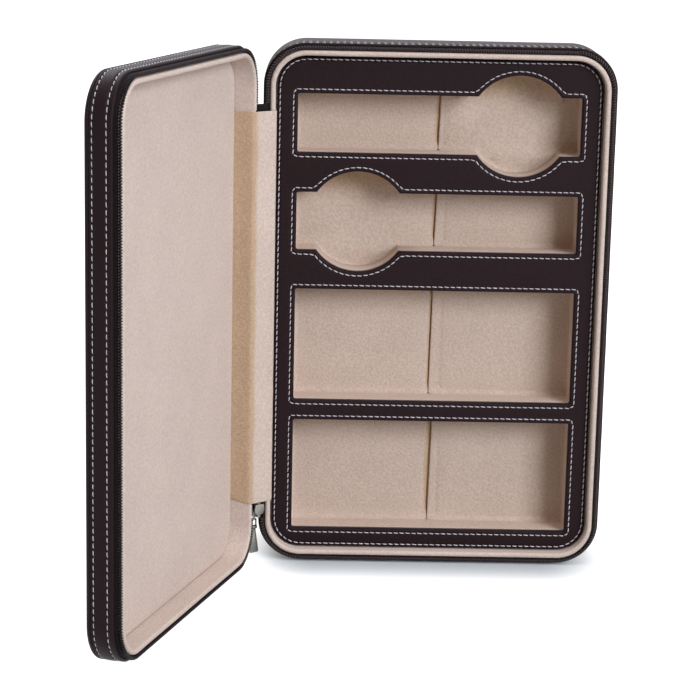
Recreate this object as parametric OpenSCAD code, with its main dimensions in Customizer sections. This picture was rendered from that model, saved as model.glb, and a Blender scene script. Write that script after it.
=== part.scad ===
// Watch travel case: two padded leather shells joined by a flexible leather spine, closed by a
// zip round the other three sides. The deep base shell holds four suede pockets under a leather
// frame and the shallow lid holds a padded panel.
// The case stands on its end like an open book: +Z runs up the spine, +Y points from the viewer
// into the base shell, and the origin is the centre of the base shell's bottom end face.
// Both shells are drawn in one shell frame: x runs from the lining lip's spine side, y is the
// depth below the rim plane and z is the height above the lip's bottom end.

/* [Case outline] */
// Width of the lining lip, from the spine side to the opening side
lip_w = 170; // [150:1:200]
// Height of the lining lip, end to end
lip_h = 261.3; // [250:0.1:290]
// Outer corner radius of the lining lip
lip_corner_r = 18; // [12:0.5:22]
// Depth of the base shell, rim plane to back face
base_depth = 35; // [33:0.5:45]
// Depth of the lid shell, rim plane to cover face
lid_depth = 17.7; // [16.2:0.1:26]

/* [Shell layers] */
// Thickness of the wall leather where it covers the zip tape
leather_t = 1.8; // [1.2:0.1:2.4]
// Thickness of the zip tape and of the spine's inner tape
tape_t = 0.6; // [0.4:0.05:0.8]
// Thickness of the stiff core's walls
core_wall_t = 1.2; // [1:0.1:1.6]
// Thickness of the stiff core's floor
core_floor_t = 1.6; // [1.2:0.1:2]
// Thickness of the padded back panel and of the padded cover
cover_t = 2.6; // [2.2:0.1:3]
// Edge radius of the padded back panel and cover
cover_edge_r = 2; // [1:0.1:2]
// Thickness of the padded lining lip
lip_t = 2.5; // [2:0.1:3.2]
// Distance from the rim plane to the folded edge of the wall leather
leather_edge_d = 3.9; // [3.5:0.1:4.5]
// Distance from the rim plane to the core's rim
core_rim_d = 4.3; // [4:0.1:5]
// Half of the gap between the two lips and between the two zip coils when shut
rim_gap = 0.15; // [0.1:0.05:0.3]

/* [Leather frame] */
// Distance from the rim plane down to the frame's face
frame_recess = 5.5; // [3:0.5:8]
// Thickness of the frame, board and leather together
frame_t = 3.6; // [3:0.1:4.5]
// Edge radius of the frame's outer edge
frame_edge_r = 1; // [0.5:0.1:1.2]
// Thickness of the leather over the frame's board
frame_leather_t = 0.9; // [0.6:0.05:1.2]
// Gap between the lining lip and the frame, and between the lip and the lid pad
lip_inner_gap = 0.8; // [0.8:0.05:1.2]
// Distance from the lip's side to the ends of the windows
window_side = 13.7; // [11:0.1:20]
// Distance from the lip's bottom end to the lowest window
window_bottom = 13; // [10:0.1:18]
// Distance from the highest window to the lip's top end
window_top = 21.8; // [18:0.1:28]
// Width of the frame bar between the two wide windows
wide_bar = 10.6; // [8:0.1:14]
// Width of the frame bars beside the round-ended windows
round_bar = 20.2; // [18:0.1:24]
// Width of the two strap windows that carry a round bay
strap_w = 29.6; // [24:0.1:34]
// Diameter of the round bay for a watch head
head_d = 51.2; // [44:0.1:54]
// Distance from a strap window's near end to the centre of its round bay
head_inset = 31.2; // [28:0.1:40]
// Corner radius of the wide windows
window_corner_r = 1; // [0.5:0.1:2]

/* [Pockets] */
// Thickness of the foam sheet under the pocket trays
foam_bed_t = 1.5; // [1:0.1:3]
// Thickness of the padded boards on the pocket floors
pocket_pad_t = 2.4; // [2:0.1:3]
// Wall and floor thickness of the suede-lined pocket trays
tray_t = 0.9; // [0.7:0.05:1.1]
// How far the pocket walls stand back from the window edges
tray_setback = 0.2; // [0:0.05:0.4]
// Width of the slit between the two padded boards of a pocket
pad_slit = 0.5; // [0.3:0.05:1]
// Clearance round a piece that is set into another
fit_gap = 0.1; // [0.05:0.01:0.2]

/* [Lid lining] */
// Depth from the rim plane to the face of the lid's padded panel
lid_pad_d = 10.8; // [8:0.1:11.5]
// Edge radius of the lid's padded panel
lid_pad_edge_r = 1.4; // [0.8:0.1:1.6]

/* [Spine] */
// Distance from the outer leather face out to the axis that the lid turns about
hinge_out = 1.1; // [0.8:0.05:1.5]
// How far the stored lid is turned open from shut
lid_open = 108; // [90:1:130]
// Distance from the lip's bottom end up to the spine
spine_bottom = 28.5; // [26:0.5:34]
// Distance from the spine's top end to the lip's top end
spine_top = 30.3; // [28:0.1:40]
// Thickness of the suede spine lining
lining_t = 0.7; // [0.5:0.05:0.7]
// Reach of the inner tape and the spine lining into each shell
tape_depth = 14.2; // [12:0.1:14.4]

/* [Zip] */
// Width of each zip coil, measured away from the rim plane
coil_w = 2; // [1.5:0.1:2.6]
// Thickness of each zip coil
coil_t = 1.8; // [1.4:0.1:2]
// Height of the fabric piece that joins the tapes at the top of the spine
zip_end_h = 3.6; // [2.5:0.1:6]
// Length of the slider's body
slider_len = 7.5; // [6.5:0.1:9]
// Width of the slider's body at its mouth
slider_w = 5.6; // [5:0.1:6]
// Thickness of the slider's body, plate to plate
slider_t = 4; // [3.6:0.1:4.2]
// Thickness of each slider plate
slider_plate_t = 0.9; // [0.7:0.05:1.1]
// Gap between the slider and the spine's bottom end
slider_gap = 0.8; // [0.5:0.1:2]
// How far the slider's inner face lies inward from the hinge axis
slider_in = 3.5; // [3:0.1:3.6]
// Radius of the pins that the pull link and the pull tab turn on
pin_r = 0.5; // [0.4:0.05:0.55]
// Radial clearance of the pull's eyes on their pins
pin_play = 0.08; // [0.05:0.01:0.1]
// Distance between the pull link's two pins
link_len = 7; // [6:0.1:9]
// Length of the pull tab below its pin
tab_len = 12.5; // [9:0.1:13]
// Width of the pull tab
tab_w = 3.2; // [2.8:0.1:3.3]
// Thickness of the pull tab
tab_t = 1; // [0.8:0.05:1.2]

/* [Hidden] */

leather_c = "#2c2021";
suede_c = "#ccbbb2";
board_c = "#8a7a66";
foam_c = "#d9d4c8";
zip_c = "#221a19";
metal_c = "#b9b6b0";

// Outsets of the layers from the lining lip's outer face
core_out = core_wall_t;
tape_out = core_out + tape_t;
leather_out = tape_out + leather_t;
coil_out = core_out + tape_t / 2 + coil_t / 2;
coil_in = coil_out - coil_t;
frame_in = lip_t + lip_inner_gap;

// Places of the hinge axis, the rim plane and the standing foot in the part's own frame
rest_z = leather_out;
rim_y = -base_depth / 2;
axis_out = leather_out + hinge_out;
hinge_x = -lip_w / 2 - axis_out;
half_open = lid_open / 2;

// Depths of the base's layers below the rim plane
base_core_end = base_depth - cover_t;
base_core_floor = base_core_end - core_floor_t;
frame_back = frame_recess + frame_t;
tray_back = base_core_floor - foam_bed_t;
tray_floor = tray_back - tray_t;
pad_face = tray_floor - pocket_pad_t;
lid_core_end = lid_depth - cover_t;
lid_core_floor = lid_core_end - core_floor_t;
lid_tape_depth = min(tape_depth, lid_core_end - tape_t);

// Ends of the spine above the lip's bottom end
spine_z0 = spine_bottom;
spine_z1 = lip_h - spine_top;

// Windows from the bottom up: 4 and 3 are wide, 2 and 1 carry a round bay
window_w = lip_w - 2 * window_side;
mid_x = lip_w / 2;
wide_h = (lip_h - window_bottom - window_top - wide_bar - 2 * round_bar - 2 * strap_w) / 2;
window_z = [
    window_bottom + 2 * wide_h + wide_bar + 2 * round_bar + strap_w,
    window_bottom + 2 * wide_h + wide_bar + round_bar,
    window_bottom + wide_h + wide_bar,
    window_bottom
];
window_h = [strap_w, strap_w, wide_h, wide_h];
head_x = [lip_w - window_side - head_inset, window_side + head_inset];
tray_out = tray_setback + tray_t;

// Zip slider and pull, on the plane half way between the two shells
slider_top = spine_z0 - slider_gap;
slider_bottom = slider_top - slider_len;
slider_out = slider_in - slider_t;
slider_taper = 0.8;
zip_gap = 0.6;
eye_r = 2.1 * pin_r;
pull_gap = 0.35;
ear_t = 0.75;
eye_w = 1.5;
pull_r = slider_out - pull_gap - eye_r;
link_pin_z = slider_bottom + eye_r;
tab_pin_z = link_pin_z - link_len;
strap_t = 0.8;
fork_start = 2.4 * eye_r;
fork_gap = 0.1;
fork_w = eye_w + 2 * fork_gap + 2 * ear_t;

eps = 0.01;
fa = 96;

// Places a shell drawn in the shell frame as the base
module base_place() {
    translate([-lip_w / 2, rim_y, rest_z]) children();
}

// Places a shell drawn in the shell frame as the lid, turned open about the hinge axis
module lid_place() {
    translate([hinge_x, rim_y, rest_z])
        rotate([0, 0, -lid_open])
            mirror([0, 1, 0])
                translate([axis_out, 0, 0]) children();
}

// Frame of the middle plane: x runs inward from the hinge axis, y from lid to base
module middle_place() {
    translate([hinge_x, rim_y, rest_z])
        rotate([0, 0, -half_open]) children();
}

// A flat shape in x and z made solid from depth d0 to depth d1
module slab(d0, d1) {
    translate([0, d1, 0])
        rotate([90, 0, 0])
            linear_extrude(d1 - d0) children();
}

// Rounded outline of the case, set out from the lining lip's outer face
module outline(out) {
    r = lip_corner_r + out;
    w = lip_w + 2 * out;
    h = lip_h + 2 * out;
    translate([-out, -out]) {
        translate([r, 0]) square([w - 2 * r, h]);
        translate([0, r]) square([w, h - 2 * r]);
        for (x = [r, w - r], z = [r, h - r])
            translate([x, z]) circle(r = r, $fn = fa);
    }
}

// Wall that follows the outline, from one outset to another
module ring(out, in, d0, d1) {
    slab(d0, d1)
        difference() {
            outline(out);
            outline(in);
        }
}

// Cross-section of a panel: width w, thickness t, its two face corners rounded
module panel_section(w, t, edge_r) {
    translate([-w / 2, 0]) square([w, t - edge_r]);
    translate([edge_r - w / 2, 0]) square([w - 2 * edge_r, t]);
    for (s = [-1, 1])
        intersection() {
            translate([s * (w / 2 - edge_r), t - edge_r]) circle(r = edge_r, $fn = fa);
            translate([-w / 2, 0]) square([w, t]);
        }
}

// Panel whose outer edge is rounded on the face at depth d_face, with its back at d_back
module round_panel(out, d_back, d_face, edge_r) {
    t = abs(d_face - d_back);
    r = lip_corner_r + out;
    x0 = r - out;
    translate([0, d_back, 0])
        mirror([0, d_face < d_back ? 1 : 0, 0]) {
            translate([x0, 0, lip_h / 2])
                rotate([0, 90, 0])
                    linear_extrude(lip_w - 2 * x0) panel_section(lip_h + 2 * out, t, edge_r);
            translate([lip_w / 2, 0, x0])
                linear_extrude(lip_h - 2 * x0) panel_section(lip_w + 2 * out, t, edge_r);
            for (x = [x0, lip_w - x0], z = [x0, lip_h - x0])
                translate([x, 0, z])
                    rotate([-90, 0, 0])
                        rotate_extrude($fn = fa)
                            intersection() {
                                panel_section(2 * r, t, edge_r);
                                square([r, t]);
                            }
        }
}

// Flat shape of window i, grown outward on every side
module window(i, grow) {
    w = window_w + 2 * grow;
    h = window_h[i] + 2 * grow;
    if (i < 2) {
        translate([window_side - grow, window_z[i] - grow]) square([w, h]);
        translate([head_x[i], window_z[i] + strap_w / 2]) circle(d = head_d + 2 * grow, $fn = fa);
    } else {
        r = window_corner_r + grow;
        translate([window_side - grow, window_z[i] - grow]) {
            translate([r, 0]) square([w - 2 * r, h]);
            translate([0, r]) square([w, h - 2 * r]);
            for (x = [r, w - r], z = [r, h - r])
                translate([x, z]) circle(r = r, $fn = 32);
        }
    }
}

// Stretch of the spine side between two heights, cut through the rim walls
module spine_zone(z0, z1, d0, d1) {
    translate([-leather_out - 1, d0, z0])
        cube([leather_out + lip_t + 2, d1 - d0, z1 - z0]);
}

// Shells ------------------------------------------------------------------------------

module wall_leather(core_end, tape_end) {
    color(leather_c)
        union() {
            ring(leather_out, tape_out, leather_edge_d, tape_end);
            ring(leather_out, core_out, tape_end, core_end);
        }
}

module core_shell(core_end) {
    color(board_c)
        union() {
            ring(core_out, 0, core_rim_d, core_end - core_floor_t);
            slab(core_end - core_floor_t, core_end) outline(core_out);
        }
}

module cover_panel(depth) {
    color(leather_c)
        round_panel(leather_out, depth - cover_t, depth, cover_edge_r);
}

module lip_lining(floor_d) {
    color(suede_c)
        difference() {
            ring(0, -lip_t, rim_gap, floor_d);
            spine_zone(spine_z0 - fit_gap, spine_z1 + fit_gap, 0, rim_gap + lining_t + fit_gap);
        }
}

module zip_tape(tape_end) {
    color(zip_c)
        difference() {
            ring(tape_out, core_out, rim_gap + coil_w, tape_end);
            spine_zone(spine_z0 - slider_gap / 2, spine_z1 + zip_gap / 2, 0, tape_end + 1);
            spine_zone(slider_bottom - zip_gap, spine_z0, 0, leather_edge_d);
            spine_zone(spine_z1, spine_z1 + zip_end_h + zip_gap, 0, leather_edge_d);
        }
}

module zip_coil() {
    color(zip_c)
        difference() {
            ring(coil_out, coil_in, rim_gap, rim_gap + coil_w);
            spine_zone(slider_bottom - zip_gap, spine_z1 + zip_end_h + zip_gap, 0, leather_edge_d);
        }
}

module base_back_panel() { base_place() cover_panel(base_depth); }
module base_wall_leather() { base_place() wall_leather(base_core_end, tape_depth); }
module base_core_shell() { base_place() core_shell(base_core_end); }
module base_lip_lining() { base_place() lip_lining(base_core_floor); }
module zip_tape_base() { base_place() zip_tape(tape_depth); }
module zip_coil_base() { base_place() zip_coil(); }

module lid_cover() { lid_place() cover_panel(lid_depth); }
module lid_wall_leather() { lid_place() wall_leather(lid_core_end, lid_tape_depth); }
module lid_core_shell() { lid_place() core_shell(lid_core_end); }
module lid_lip_lining() { lid_place() lip_lining(lid_core_floor); }
module zip_tape_lid() { lid_place() zip_tape(lid_tape_depth); }
module zip_coil_lid() { lid_place() zip_coil(); }

module lid_pad() {
    color(suede_c)
        lid_place() round_panel(-frame_in, lid_core_floor, lid_pad_d, lid_pad_edge_r);
}

// Insert ------------------------------------------------------------------------------

module frame_board_shape() {
    slab(frame_recess + frame_leather_t, frame_back)
        difference() {
            outline(-frame_in - frame_leather_t);
            for (i = [0 : 3]) window(i, frame_leather_t);
        }
}

module insert_frame_board() {
    color(board_c) base_place() frame_board_shape();
}

module insert_frame_leather() {
    color(leather_c)
        base_place()
            difference() {
                round_panel(-frame_in, frame_back, frame_recess, frame_edge_r);
                slab(frame_recess - 1, frame_back + 1)
                    for (i = [0 : 3]) window(i, 0);
                frame_board_shape();
            }
}

module insert_carrier() {
    color(foam_c)
        base_place()
            slab(frame_back, tray_back)
                difference() {
                    outline(-lip_t - fit_gap);
                    for (i = [0 : 3]) window(i, tray_out + fit_gap);
                }
}

module base_foam_bed() {
    color(foam_c)
        base_place() slab(tray_back, base_core_floor) outline(-lip_t - fit_gap);
}

module pocket_tray(i) {
    color(suede_c)
        base_place()
            union() {
                slab(frame_back, tray_floor)
                    difference() {
                        window(i, tray_out);
                        window(i, tray_setback);
                    }
                slab(tray_floor, tray_back) window(i, tray_out);
            }
}

module pocket_tray_1() { pocket_tray(0); }
module pocket_tray_2() { pocket_tray(1); }
module pocket_tray_3() { pocket_tray(2); }
module pocket_tray_4() { pocket_tray(3); }

// side -1 is the left board of the pocket, side 1 the right one
module pocket_pad(i, side) {
    half = lip_w / 2;
    color(suede_c)
        base_place()
            slab(pad_face, tray_floor)
                intersection() {
                    window(i, tray_setback - fit_gap);
                    translate([mid_x + side * (half / 2 + pad_slit / 2), window_z[i] + window_h[i] / 2])
                        square([half, window_h[i] + head_d], center = true);
                }
}

module pocket_pad_1_left() { pocket_pad(0, -1); }
module pocket_pad_1_right() { pocket_pad(0, 1); }
module pocket_pad_2_left() { pocket_pad(1, -1); }
module pocket_pad_2_right() { pocket_pad(1, 1); }
module pocket_pad_3_left() { pocket_pad(2, -1); }
module pocket_pad_3_right() { pocket_pad(2, 1); }
module pocket_pad_4_left() { pocket_pad(3, -1); }
module pocket_pad_4_right() { pocket_pad(3, 1); }

// Spine -------------------------------------------------------------------------------

// Point of the base shell in the middle frame: u from the hinge axis, d below the rim plane
function mid_pt(u, d) = [
    u * cos(half_open) - d * sin(half_open),
    u * sin(half_open) + d * cos(half_open)
];
function flip(p) = [p[0], -p[1]];
function rev(v) = [for (i = [len(v) - 1 : -1 : 0]) v[i]];

// The spine keeps its shut length, two edge depths, while it bends in an arc tangent to both
// walls: arc_r is that arc's radius on the outer leather face and arc_x its centre
arc_r = 2 * hinge_out * tan(half_open) / (2 * tan(half_open) - lid_open * PI / 180);
arc_x = (hinge_out - arc_r) / cos(half_open);
arc_steps = 12;

// Half of a layer of the spine, from the middle to the base wall, at depth t below the outer face
function bend(t) = [
    for (i = [0 : arc_steps])
        let (a = half_open * i / arc_steps)
        [arc_x + (arc_r + t) * cos(a), (arc_r + t) * sin(a)]
];

function layer(t, end_d) = concat(
    [flip(mid_pt(hinge_out + t, end_d))],
    [for (p = rev(bend(t))) flip(p)],
    bend(t),
    [mid_pt(hinge_out + t, end_d)]
);

// A layer of the spine between two depths below its outer face
module spine_layer(t0, t1, end_d, z0, z1) {
    translate([0, 0, z0])
        linear_extrude(z1 - z0)
            polygon(concat(layer(t0, end_d), rev(layer(t1, end_d))));
}

module spine_leather() {
    color(leather_c)
        middle_place()
            spine_layer(0, leather_t, leather_edge_d, spine_z0, spine_z1);
}

module spine_tape() {
    color(zip_c)
        middle_place()
            spine_layer(leather_t + eps, leather_t + tape_t - eps, lid_tape_depth - eps,
                spine_z0, spine_z1);
}

module zip_end_piece() {
    color(zip_c)
        middle_place()
            spine_layer(leather_t - coil_t / 4, leather_t + tape_t, leather_edge_d - eps,
                spine_z1 + zip_gap, spine_z1 + zip_end_h);
}

// Path of the suede lining: up the lip's inner face, over the lip and across the gap
lining_u = axis_out + lip_t + lining_t / 2 + eps;
lining_d = rim_gap + lining_t / 2;
lining_in = axis_out + lining_t;
lining_lip = mid_pt(lining_in, lining_d);
// Where it rests on the inner tape, on the middle plane
lining_rest = arc_x + arc_r + leather_t + tape_t + fit_gap + lining_t / 2;

// Half of that path, from beside the middle to depth end_d in the base or in the mirrored lid
function lining_half(end_d) = [
    [(lining_lip[0] + lining_rest) / 2, lining_lip[1] / 2],
    lining_lip,
    mid_pt(lining_u, lining_d),
    mid_pt(lining_u, end_d)
];

// Direction of a path at point i between its two legs, lengthened so that a shifted path is mitred
function unit(v) = v / norm(v);
function mitre(v, i) =
    let (
        into = unit(i > 0 ? v[i] - v[i - 1] : v[1] - v[0]),
        onward = i < len(v) - 1 ? unit(v[i + 1] - v[i]) : into,
        m = unit(into + onward)
    ) m / (m * into);
function shift(v, s) = [
    for (i = [0 : len(v) - 1])
        let (m = mitre(v, i)) v[i] + s * [-m[1], m[0]]
];

module spine_lining() {
    path = concat(
        [for (p = rev(lining_half(lid_pad_d))) flip(p)],
        [[lining_rest, 0]],
        lining_half(frame_back - fit_gap)
    );
    color(suede_c)
        middle_place()
            translate([0, 0, spine_z0])
                linear_extrude(spine_z1 - spine_z0)
                    polygon(concat(shift(path, lining_t / 2), rev(shift(path, -lining_t / 2))));
}

// Zip slider and pull -----------------------------------------------------------------

// Plate of the slider, wide at its mouth and narrower towards the spine
module slider_plate(r0) {
    w0 = slider_w / 2;
    w1 = slider_w / 2 - slider_taper;
    translate([r0, 0, 0])
        rotate([90, 0, 90])
            linear_extrude(slider_plate_t)
                polygon([
                    [-w0 + slider_taper, slider_bottom], [w0 - slider_taper, slider_bottom],
                    [w0, slider_bottom + slider_taper], [w0, slider_top - 3 * slider_taper],
                    [w1, slider_top - slider_taper], [w1 - slider_taper, slider_top],
                    [-w1 + slider_taper, slider_top], [-w1, slider_top - slider_taper],
                    [-w0, slider_top - 3 * slider_taper], [-w0, slider_bottom + slider_taper]
                ]);
}

module zip_slider() {
    post_w = slider_w / 3;
    color(metal_c)
        middle_place()
            union() {
                slider_plate(slider_in - slider_plate_t);
                slider_plate(slider_out);
                translate([slider_out, -post_w / 2, slider_bottom + slider_taper])
                    cube([slider_t, post_w, slider_len / 3]);
                for (s = [-1, 1])
                    translate([pull_r, s * (fork_w - ear_t) / 2, link_pin_z]) {
                        rotate([90, 0, 0]) cylinder(r = eye_r, h = ear_t, center = true, $fn = 48);
                        translate([0, -ear_t / 2, -eye_r])
                            cube([slider_out - pull_r + eps, ear_t, 2 * eye_r]);
                    }
                translate([pull_r, 0, link_pin_z])
                    rotate([90, 0, 0])
                        cylinder(r = pin_r, h = fork_w - ear_t, center = true, $fn = 48);
            }
}

// Eye that turns on a pin at the origin, with its neck running down
module eye(width, reach, neck_w, neck_t) {
    difference() {
        union() {
            rotate([90, 0, 0]) cylinder(r = eye_r, h = width, center = true, $fn = 48);
            translate([-neck_t / 2, -neck_w / 2, -reach])
                cube([neck_t, neck_w, reach - pin_r - pin_play]);
        }
        rotate([90, 0, 0])
            cylinder(r = pin_r + pin_play, h = width + 2, center = true, $fn = 48);
    }
}

module zip_pull_link() {
    color(metal_c)
        middle_place()
            translate([pull_r, 0, link_pin_z])
                union() {
                    eye(eye_w, fork_start, eye_w, strap_t);
                    translate([-strap_t / 2, -fork_w / 2, -fork_start - strap_t])
                        cube([strap_t, fork_w, strap_t + eps]);
                    for (s = [-1, 1])
                        translate([0, s * (fork_w - ear_t) / 2, 0]) {
                            translate([-strap_t / 2, -ear_t / 2, -link_len])
                                cube([strap_t, ear_t, link_len - fork_start]);
                            translate([0, 0, -link_len])
                                rotate([90, 0, 0])
                                    cylinder(r = eye_r, h = ear_t, center = true, $fn = 48);
                        }
                    translate([0, 0, -link_len])
                        rotate([90, 0, 0])
                            cylinder(r = pin_r, h = fork_w - ear_t, center = true, $fn = 48);
                }
}

module zip_pull_tab() {
    neck = 2 * eye_r;
    color(metal_c)
        middle_place()
            translate([pull_r, 0, tab_pin_z])
                union() {
                    eye(eye_w, neck, eye_w, tab_t);
                    translate([-tab_t / 2, -tab_w / 2, -tab_len + tab_w / 2])
                        cube([tab_t, tab_w, tab_len - neck - tab_w / 2 + eps]);
                    translate([0, 0, -tab_len + tab_w / 2])
                        rotate([0, 90, 0])
                            cylinder(d = tab_w, h = tab_t, center = true, $fn = 48);
                }
}

base_back_panel();
base_wall_leather();
base_core_shell();
base_lip_lining();
base_foam_bed();
insert_carrier();
insert_frame_board();
insert_frame_leather();
pocket_tray_1();
pocket_tray_2();
pocket_tray_3();
pocket_tray_4();
pocket_pad_1_left();
pocket_pad_1_right();
pocket_pad_2_left();
pocket_pad_2_right();
pocket_pad_3_left();
pocket_pad_3_right();
pocket_pad_4_left();
pocket_pad_4_right();
zip_tape_base();
zip_coil_base();
lid_cover();
lid_wall_leather();
lid_core_shell();
lid_lip_lining();
lid_pad();
zip_tape_lid();
zip_coil_lid();
spine_leather();
spine_tape();
spine_lining();
zip_end_piece();
zip_slider();
zip_pull_link();
zip_pull_tab();
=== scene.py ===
"""Looks of a zip-round watch travel case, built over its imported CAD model.

All shapes are drawn in millimetres in a shell frame: x from the lining lip's spine side, d the
depth below the rim plane and z the height above the lip's bottom end. One function places that
frame as the base, one as the opened lid and one as the plane half way between them.
"""

import math

import bmesh
import bpy
import numpy as np
from mathutils import Matrix, Vector
from mathutils.geometry import delaunay_2d_cdt


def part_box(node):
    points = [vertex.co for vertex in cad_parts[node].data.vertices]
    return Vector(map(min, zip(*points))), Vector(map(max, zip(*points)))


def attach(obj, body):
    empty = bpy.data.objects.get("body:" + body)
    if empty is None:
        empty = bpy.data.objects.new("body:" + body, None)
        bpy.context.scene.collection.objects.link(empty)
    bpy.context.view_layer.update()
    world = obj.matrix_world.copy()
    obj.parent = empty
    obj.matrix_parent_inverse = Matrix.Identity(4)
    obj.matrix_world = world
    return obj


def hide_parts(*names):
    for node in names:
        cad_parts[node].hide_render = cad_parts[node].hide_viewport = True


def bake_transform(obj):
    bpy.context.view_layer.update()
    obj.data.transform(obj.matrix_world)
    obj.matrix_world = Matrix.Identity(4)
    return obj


bl_info = {
    "name": "Watch travel case",
    "version": (1, 0, 0),
    "blender": (4, 5, 0),
    "location": "View3D > Sidebar > Watch case",
    "description": "Leather, suede, zip and stitching of a zip-round watch travel case",
    "category": "Object",
}

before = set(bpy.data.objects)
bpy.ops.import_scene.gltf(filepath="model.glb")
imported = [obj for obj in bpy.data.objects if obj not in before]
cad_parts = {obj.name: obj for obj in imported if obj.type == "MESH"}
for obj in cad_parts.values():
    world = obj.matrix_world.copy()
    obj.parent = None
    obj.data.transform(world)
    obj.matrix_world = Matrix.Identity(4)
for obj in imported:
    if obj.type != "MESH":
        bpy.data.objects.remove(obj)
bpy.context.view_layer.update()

MM = 0.001
LIP_LOW, LIP_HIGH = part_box("base_lip_lining")
LIP_W = (LIP_HIGH.x - LIP_LOW.x) / MM
LIP_H = (LIP_HIGH.z - LIP_LOW.z) / MM
REST_Z = LIP_LOW.z / MM
BASE_DEPTH = 2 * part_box("base_back_panel")[1].y / MM
RIM_Y = -BASE_DEPTH / 2
CORNER_R = 18.0

# faces of the wall's layers, outwards from the lip's outer face, and the hinge axis beyond them
LEATHER_OUT, TAPE_OUT, CORE_OUT = 3.6, 1.8, 1.2
HINGE_OUT = 1.1
AXIS_OUT = LEATHER_OUT + HINGE_OUT
HINGE_X = -LIP_W / 2 - AXIS_OUT
LID_OPEN = math.radians(108)
HALF_OPEN = LID_OPEN / 2

# depths and thicknesses of the lid, the panels, the lip, the frame and the trays
LID_DEPTH, PANEL_T, PANEL_EDGE_R = 17.7, 2.6, 2.0
LIP_T, LIP_TOP = 2.5, 0.15
FRAME_IN, FRAME_D, FRAME_T = 3.3, 5.5, 3.6
FRAME_BACK = FRAME_D + FRAME_T
BASE_FLOOR, LID_FLOOR, LID_PAD_D = 30.8, 13.5, 10.8
TRAY_SET, TRAY_T, TRAY_FLOOR, PAD_D = 0.2, 0.9, 28.4, 26.0

# the frame's margins and bars, its windows and their round bays, from the top window down
WINDOW_SIDE, WINDOW_FOOT, WINDOW_TOP, WIDE_BAR, STRAP_BAR = 13.7, 13.0, 21.8, 10.6, 20.2
STRAP_H, HEAD_D, HEAD_INSET = 29.6, 51.2, 31.2
WIDE_H = (LIP_H - WINDOW_FOOT - WINDOW_TOP - WIDE_BAR - 2 * STRAP_BAR - 2 * STRAP_H) / 2
WINDOW_H = [STRAP_H, STRAP_H, WIDE_H, WIDE_H]
WINDOW_Z = [
    WINDOW_FOOT + 2 * WIDE_H + WIDE_BAR + 2 * STRAP_BAR + STRAP_H,
    WINDOW_FOOT + 2 * WIDE_H + WIDE_BAR + STRAP_BAR,
    WINDOW_FOOT + WIDE_H + WIDE_BAR,
    WINDOW_FOOT,
]
HEAD_X = [LIP_W - WINDOW_SIDE - HEAD_INSET, WINDOW_SIDE + HEAD_INSET, None, None]

# the spine, the zip's run on the spine side, its coils, and the slider with its pull
SPINE_Z = (28.5, LIP_H - 30.3)
TAPE_Z, COIL_TOP, TAPE_END = (27.9, 231.5), 235.0, 14.2
COIL_OUT, COIL_D = 1.5, 1.15
SLIDER_FOOT, PARK_Z, PARK_HALF = 20.2, 24.4, 4.8
EYE_R, PIN_R, EAR_T, FORK_W = 1.05, 0.5, 0.75, 3.2
PULL_R, LINK_PIN_Z, LINK_LEN, TAB_LEN = -1.9, SLIDER_FOOT + EYE_R, 7.0, 13.8
LEATHER_T, TAPE_T, LINING_T = 1.8, 0.6, 0.7


# Places ---------------------------------------------------------------------------------


def turned_in(u, v, z, angle):
    """A point at u and v from the hinge axis, with v turned away from u by a right angle, in the
    part's frame, when u is turned by angle about the hinge."""
    c, s = math.cos(angle), math.sin(angle)
    return np.stack([HINGE_X + u * c + v * s, RIM_Y - u * s + v * c, z + REST_Z], -1)


def to_base(p):
    """Shell frame to the part's frame, for the base: a plain shift."""
    return p + [-LIP_W / 2, RIM_Y, REST_Z]


def to_lid(p):
    """Shell frame to the part's frame, for the lid: mirrored in the rim plane, then turned about
    the hinge by the opening angle."""
    return turned_in(p[..., 0] + AXIS_OUT, -p[..., 1], p[..., 2], LID_OPEN)


def to_middle(p):
    """Frame of the plane half way between the shells, x inward from the hinge axis and y from
    lid to base, to the part's frame: turned by half the opening angle."""
    return turned_in(p[..., 0], p[..., 1], p[..., 2], HALF_OPEN)


def middle_of(u, d):
    """A point u from the hinge axis and d below the base's rim plane, in the middle frame."""
    c, s = math.cos(HALF_OPEN), math.sin(HALF_OPEN)
    return [u * c - d * s, u * s + d * c]


# Curves ---------------------------------------------------------------------------------

_R, _Q = CORNER_R, math.pi * CORNER_R / 2
_LEGS = [
    LIP_H / 2 - _R, _Q, LIP_W - 2 * _R, _Q, LIP_H - 2 * _R, _Q, LIP_W - 2 * _R, _Q, LIP_H / 2 - _R,
]
LEG_START = np.concatenate([[0.0], np.cumsum(_LEGS)])
AROUND = float(LEG_START[-1])
LEG_ANCHOR = np.array(
    [
        [0, LIP_H / 2], [_R, _R], [_R, 0], [LIP_W - _R, _R], [LIP_W, _R],
        [LIP_W - _R, LIP_H - _R], [LIP_W - _R, LIP_H], [_R, LIP_H - _R], [0, LIP_H - _R],
    ]
)
LEG_ANGLE = np.radians([-90, 180, 0, 270, 90, 0, 180, 90, -90])
LEG_IS_ARC = np.array([0, 1, 0, 1, 0, 1, 0, 1, 0], bool)


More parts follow.
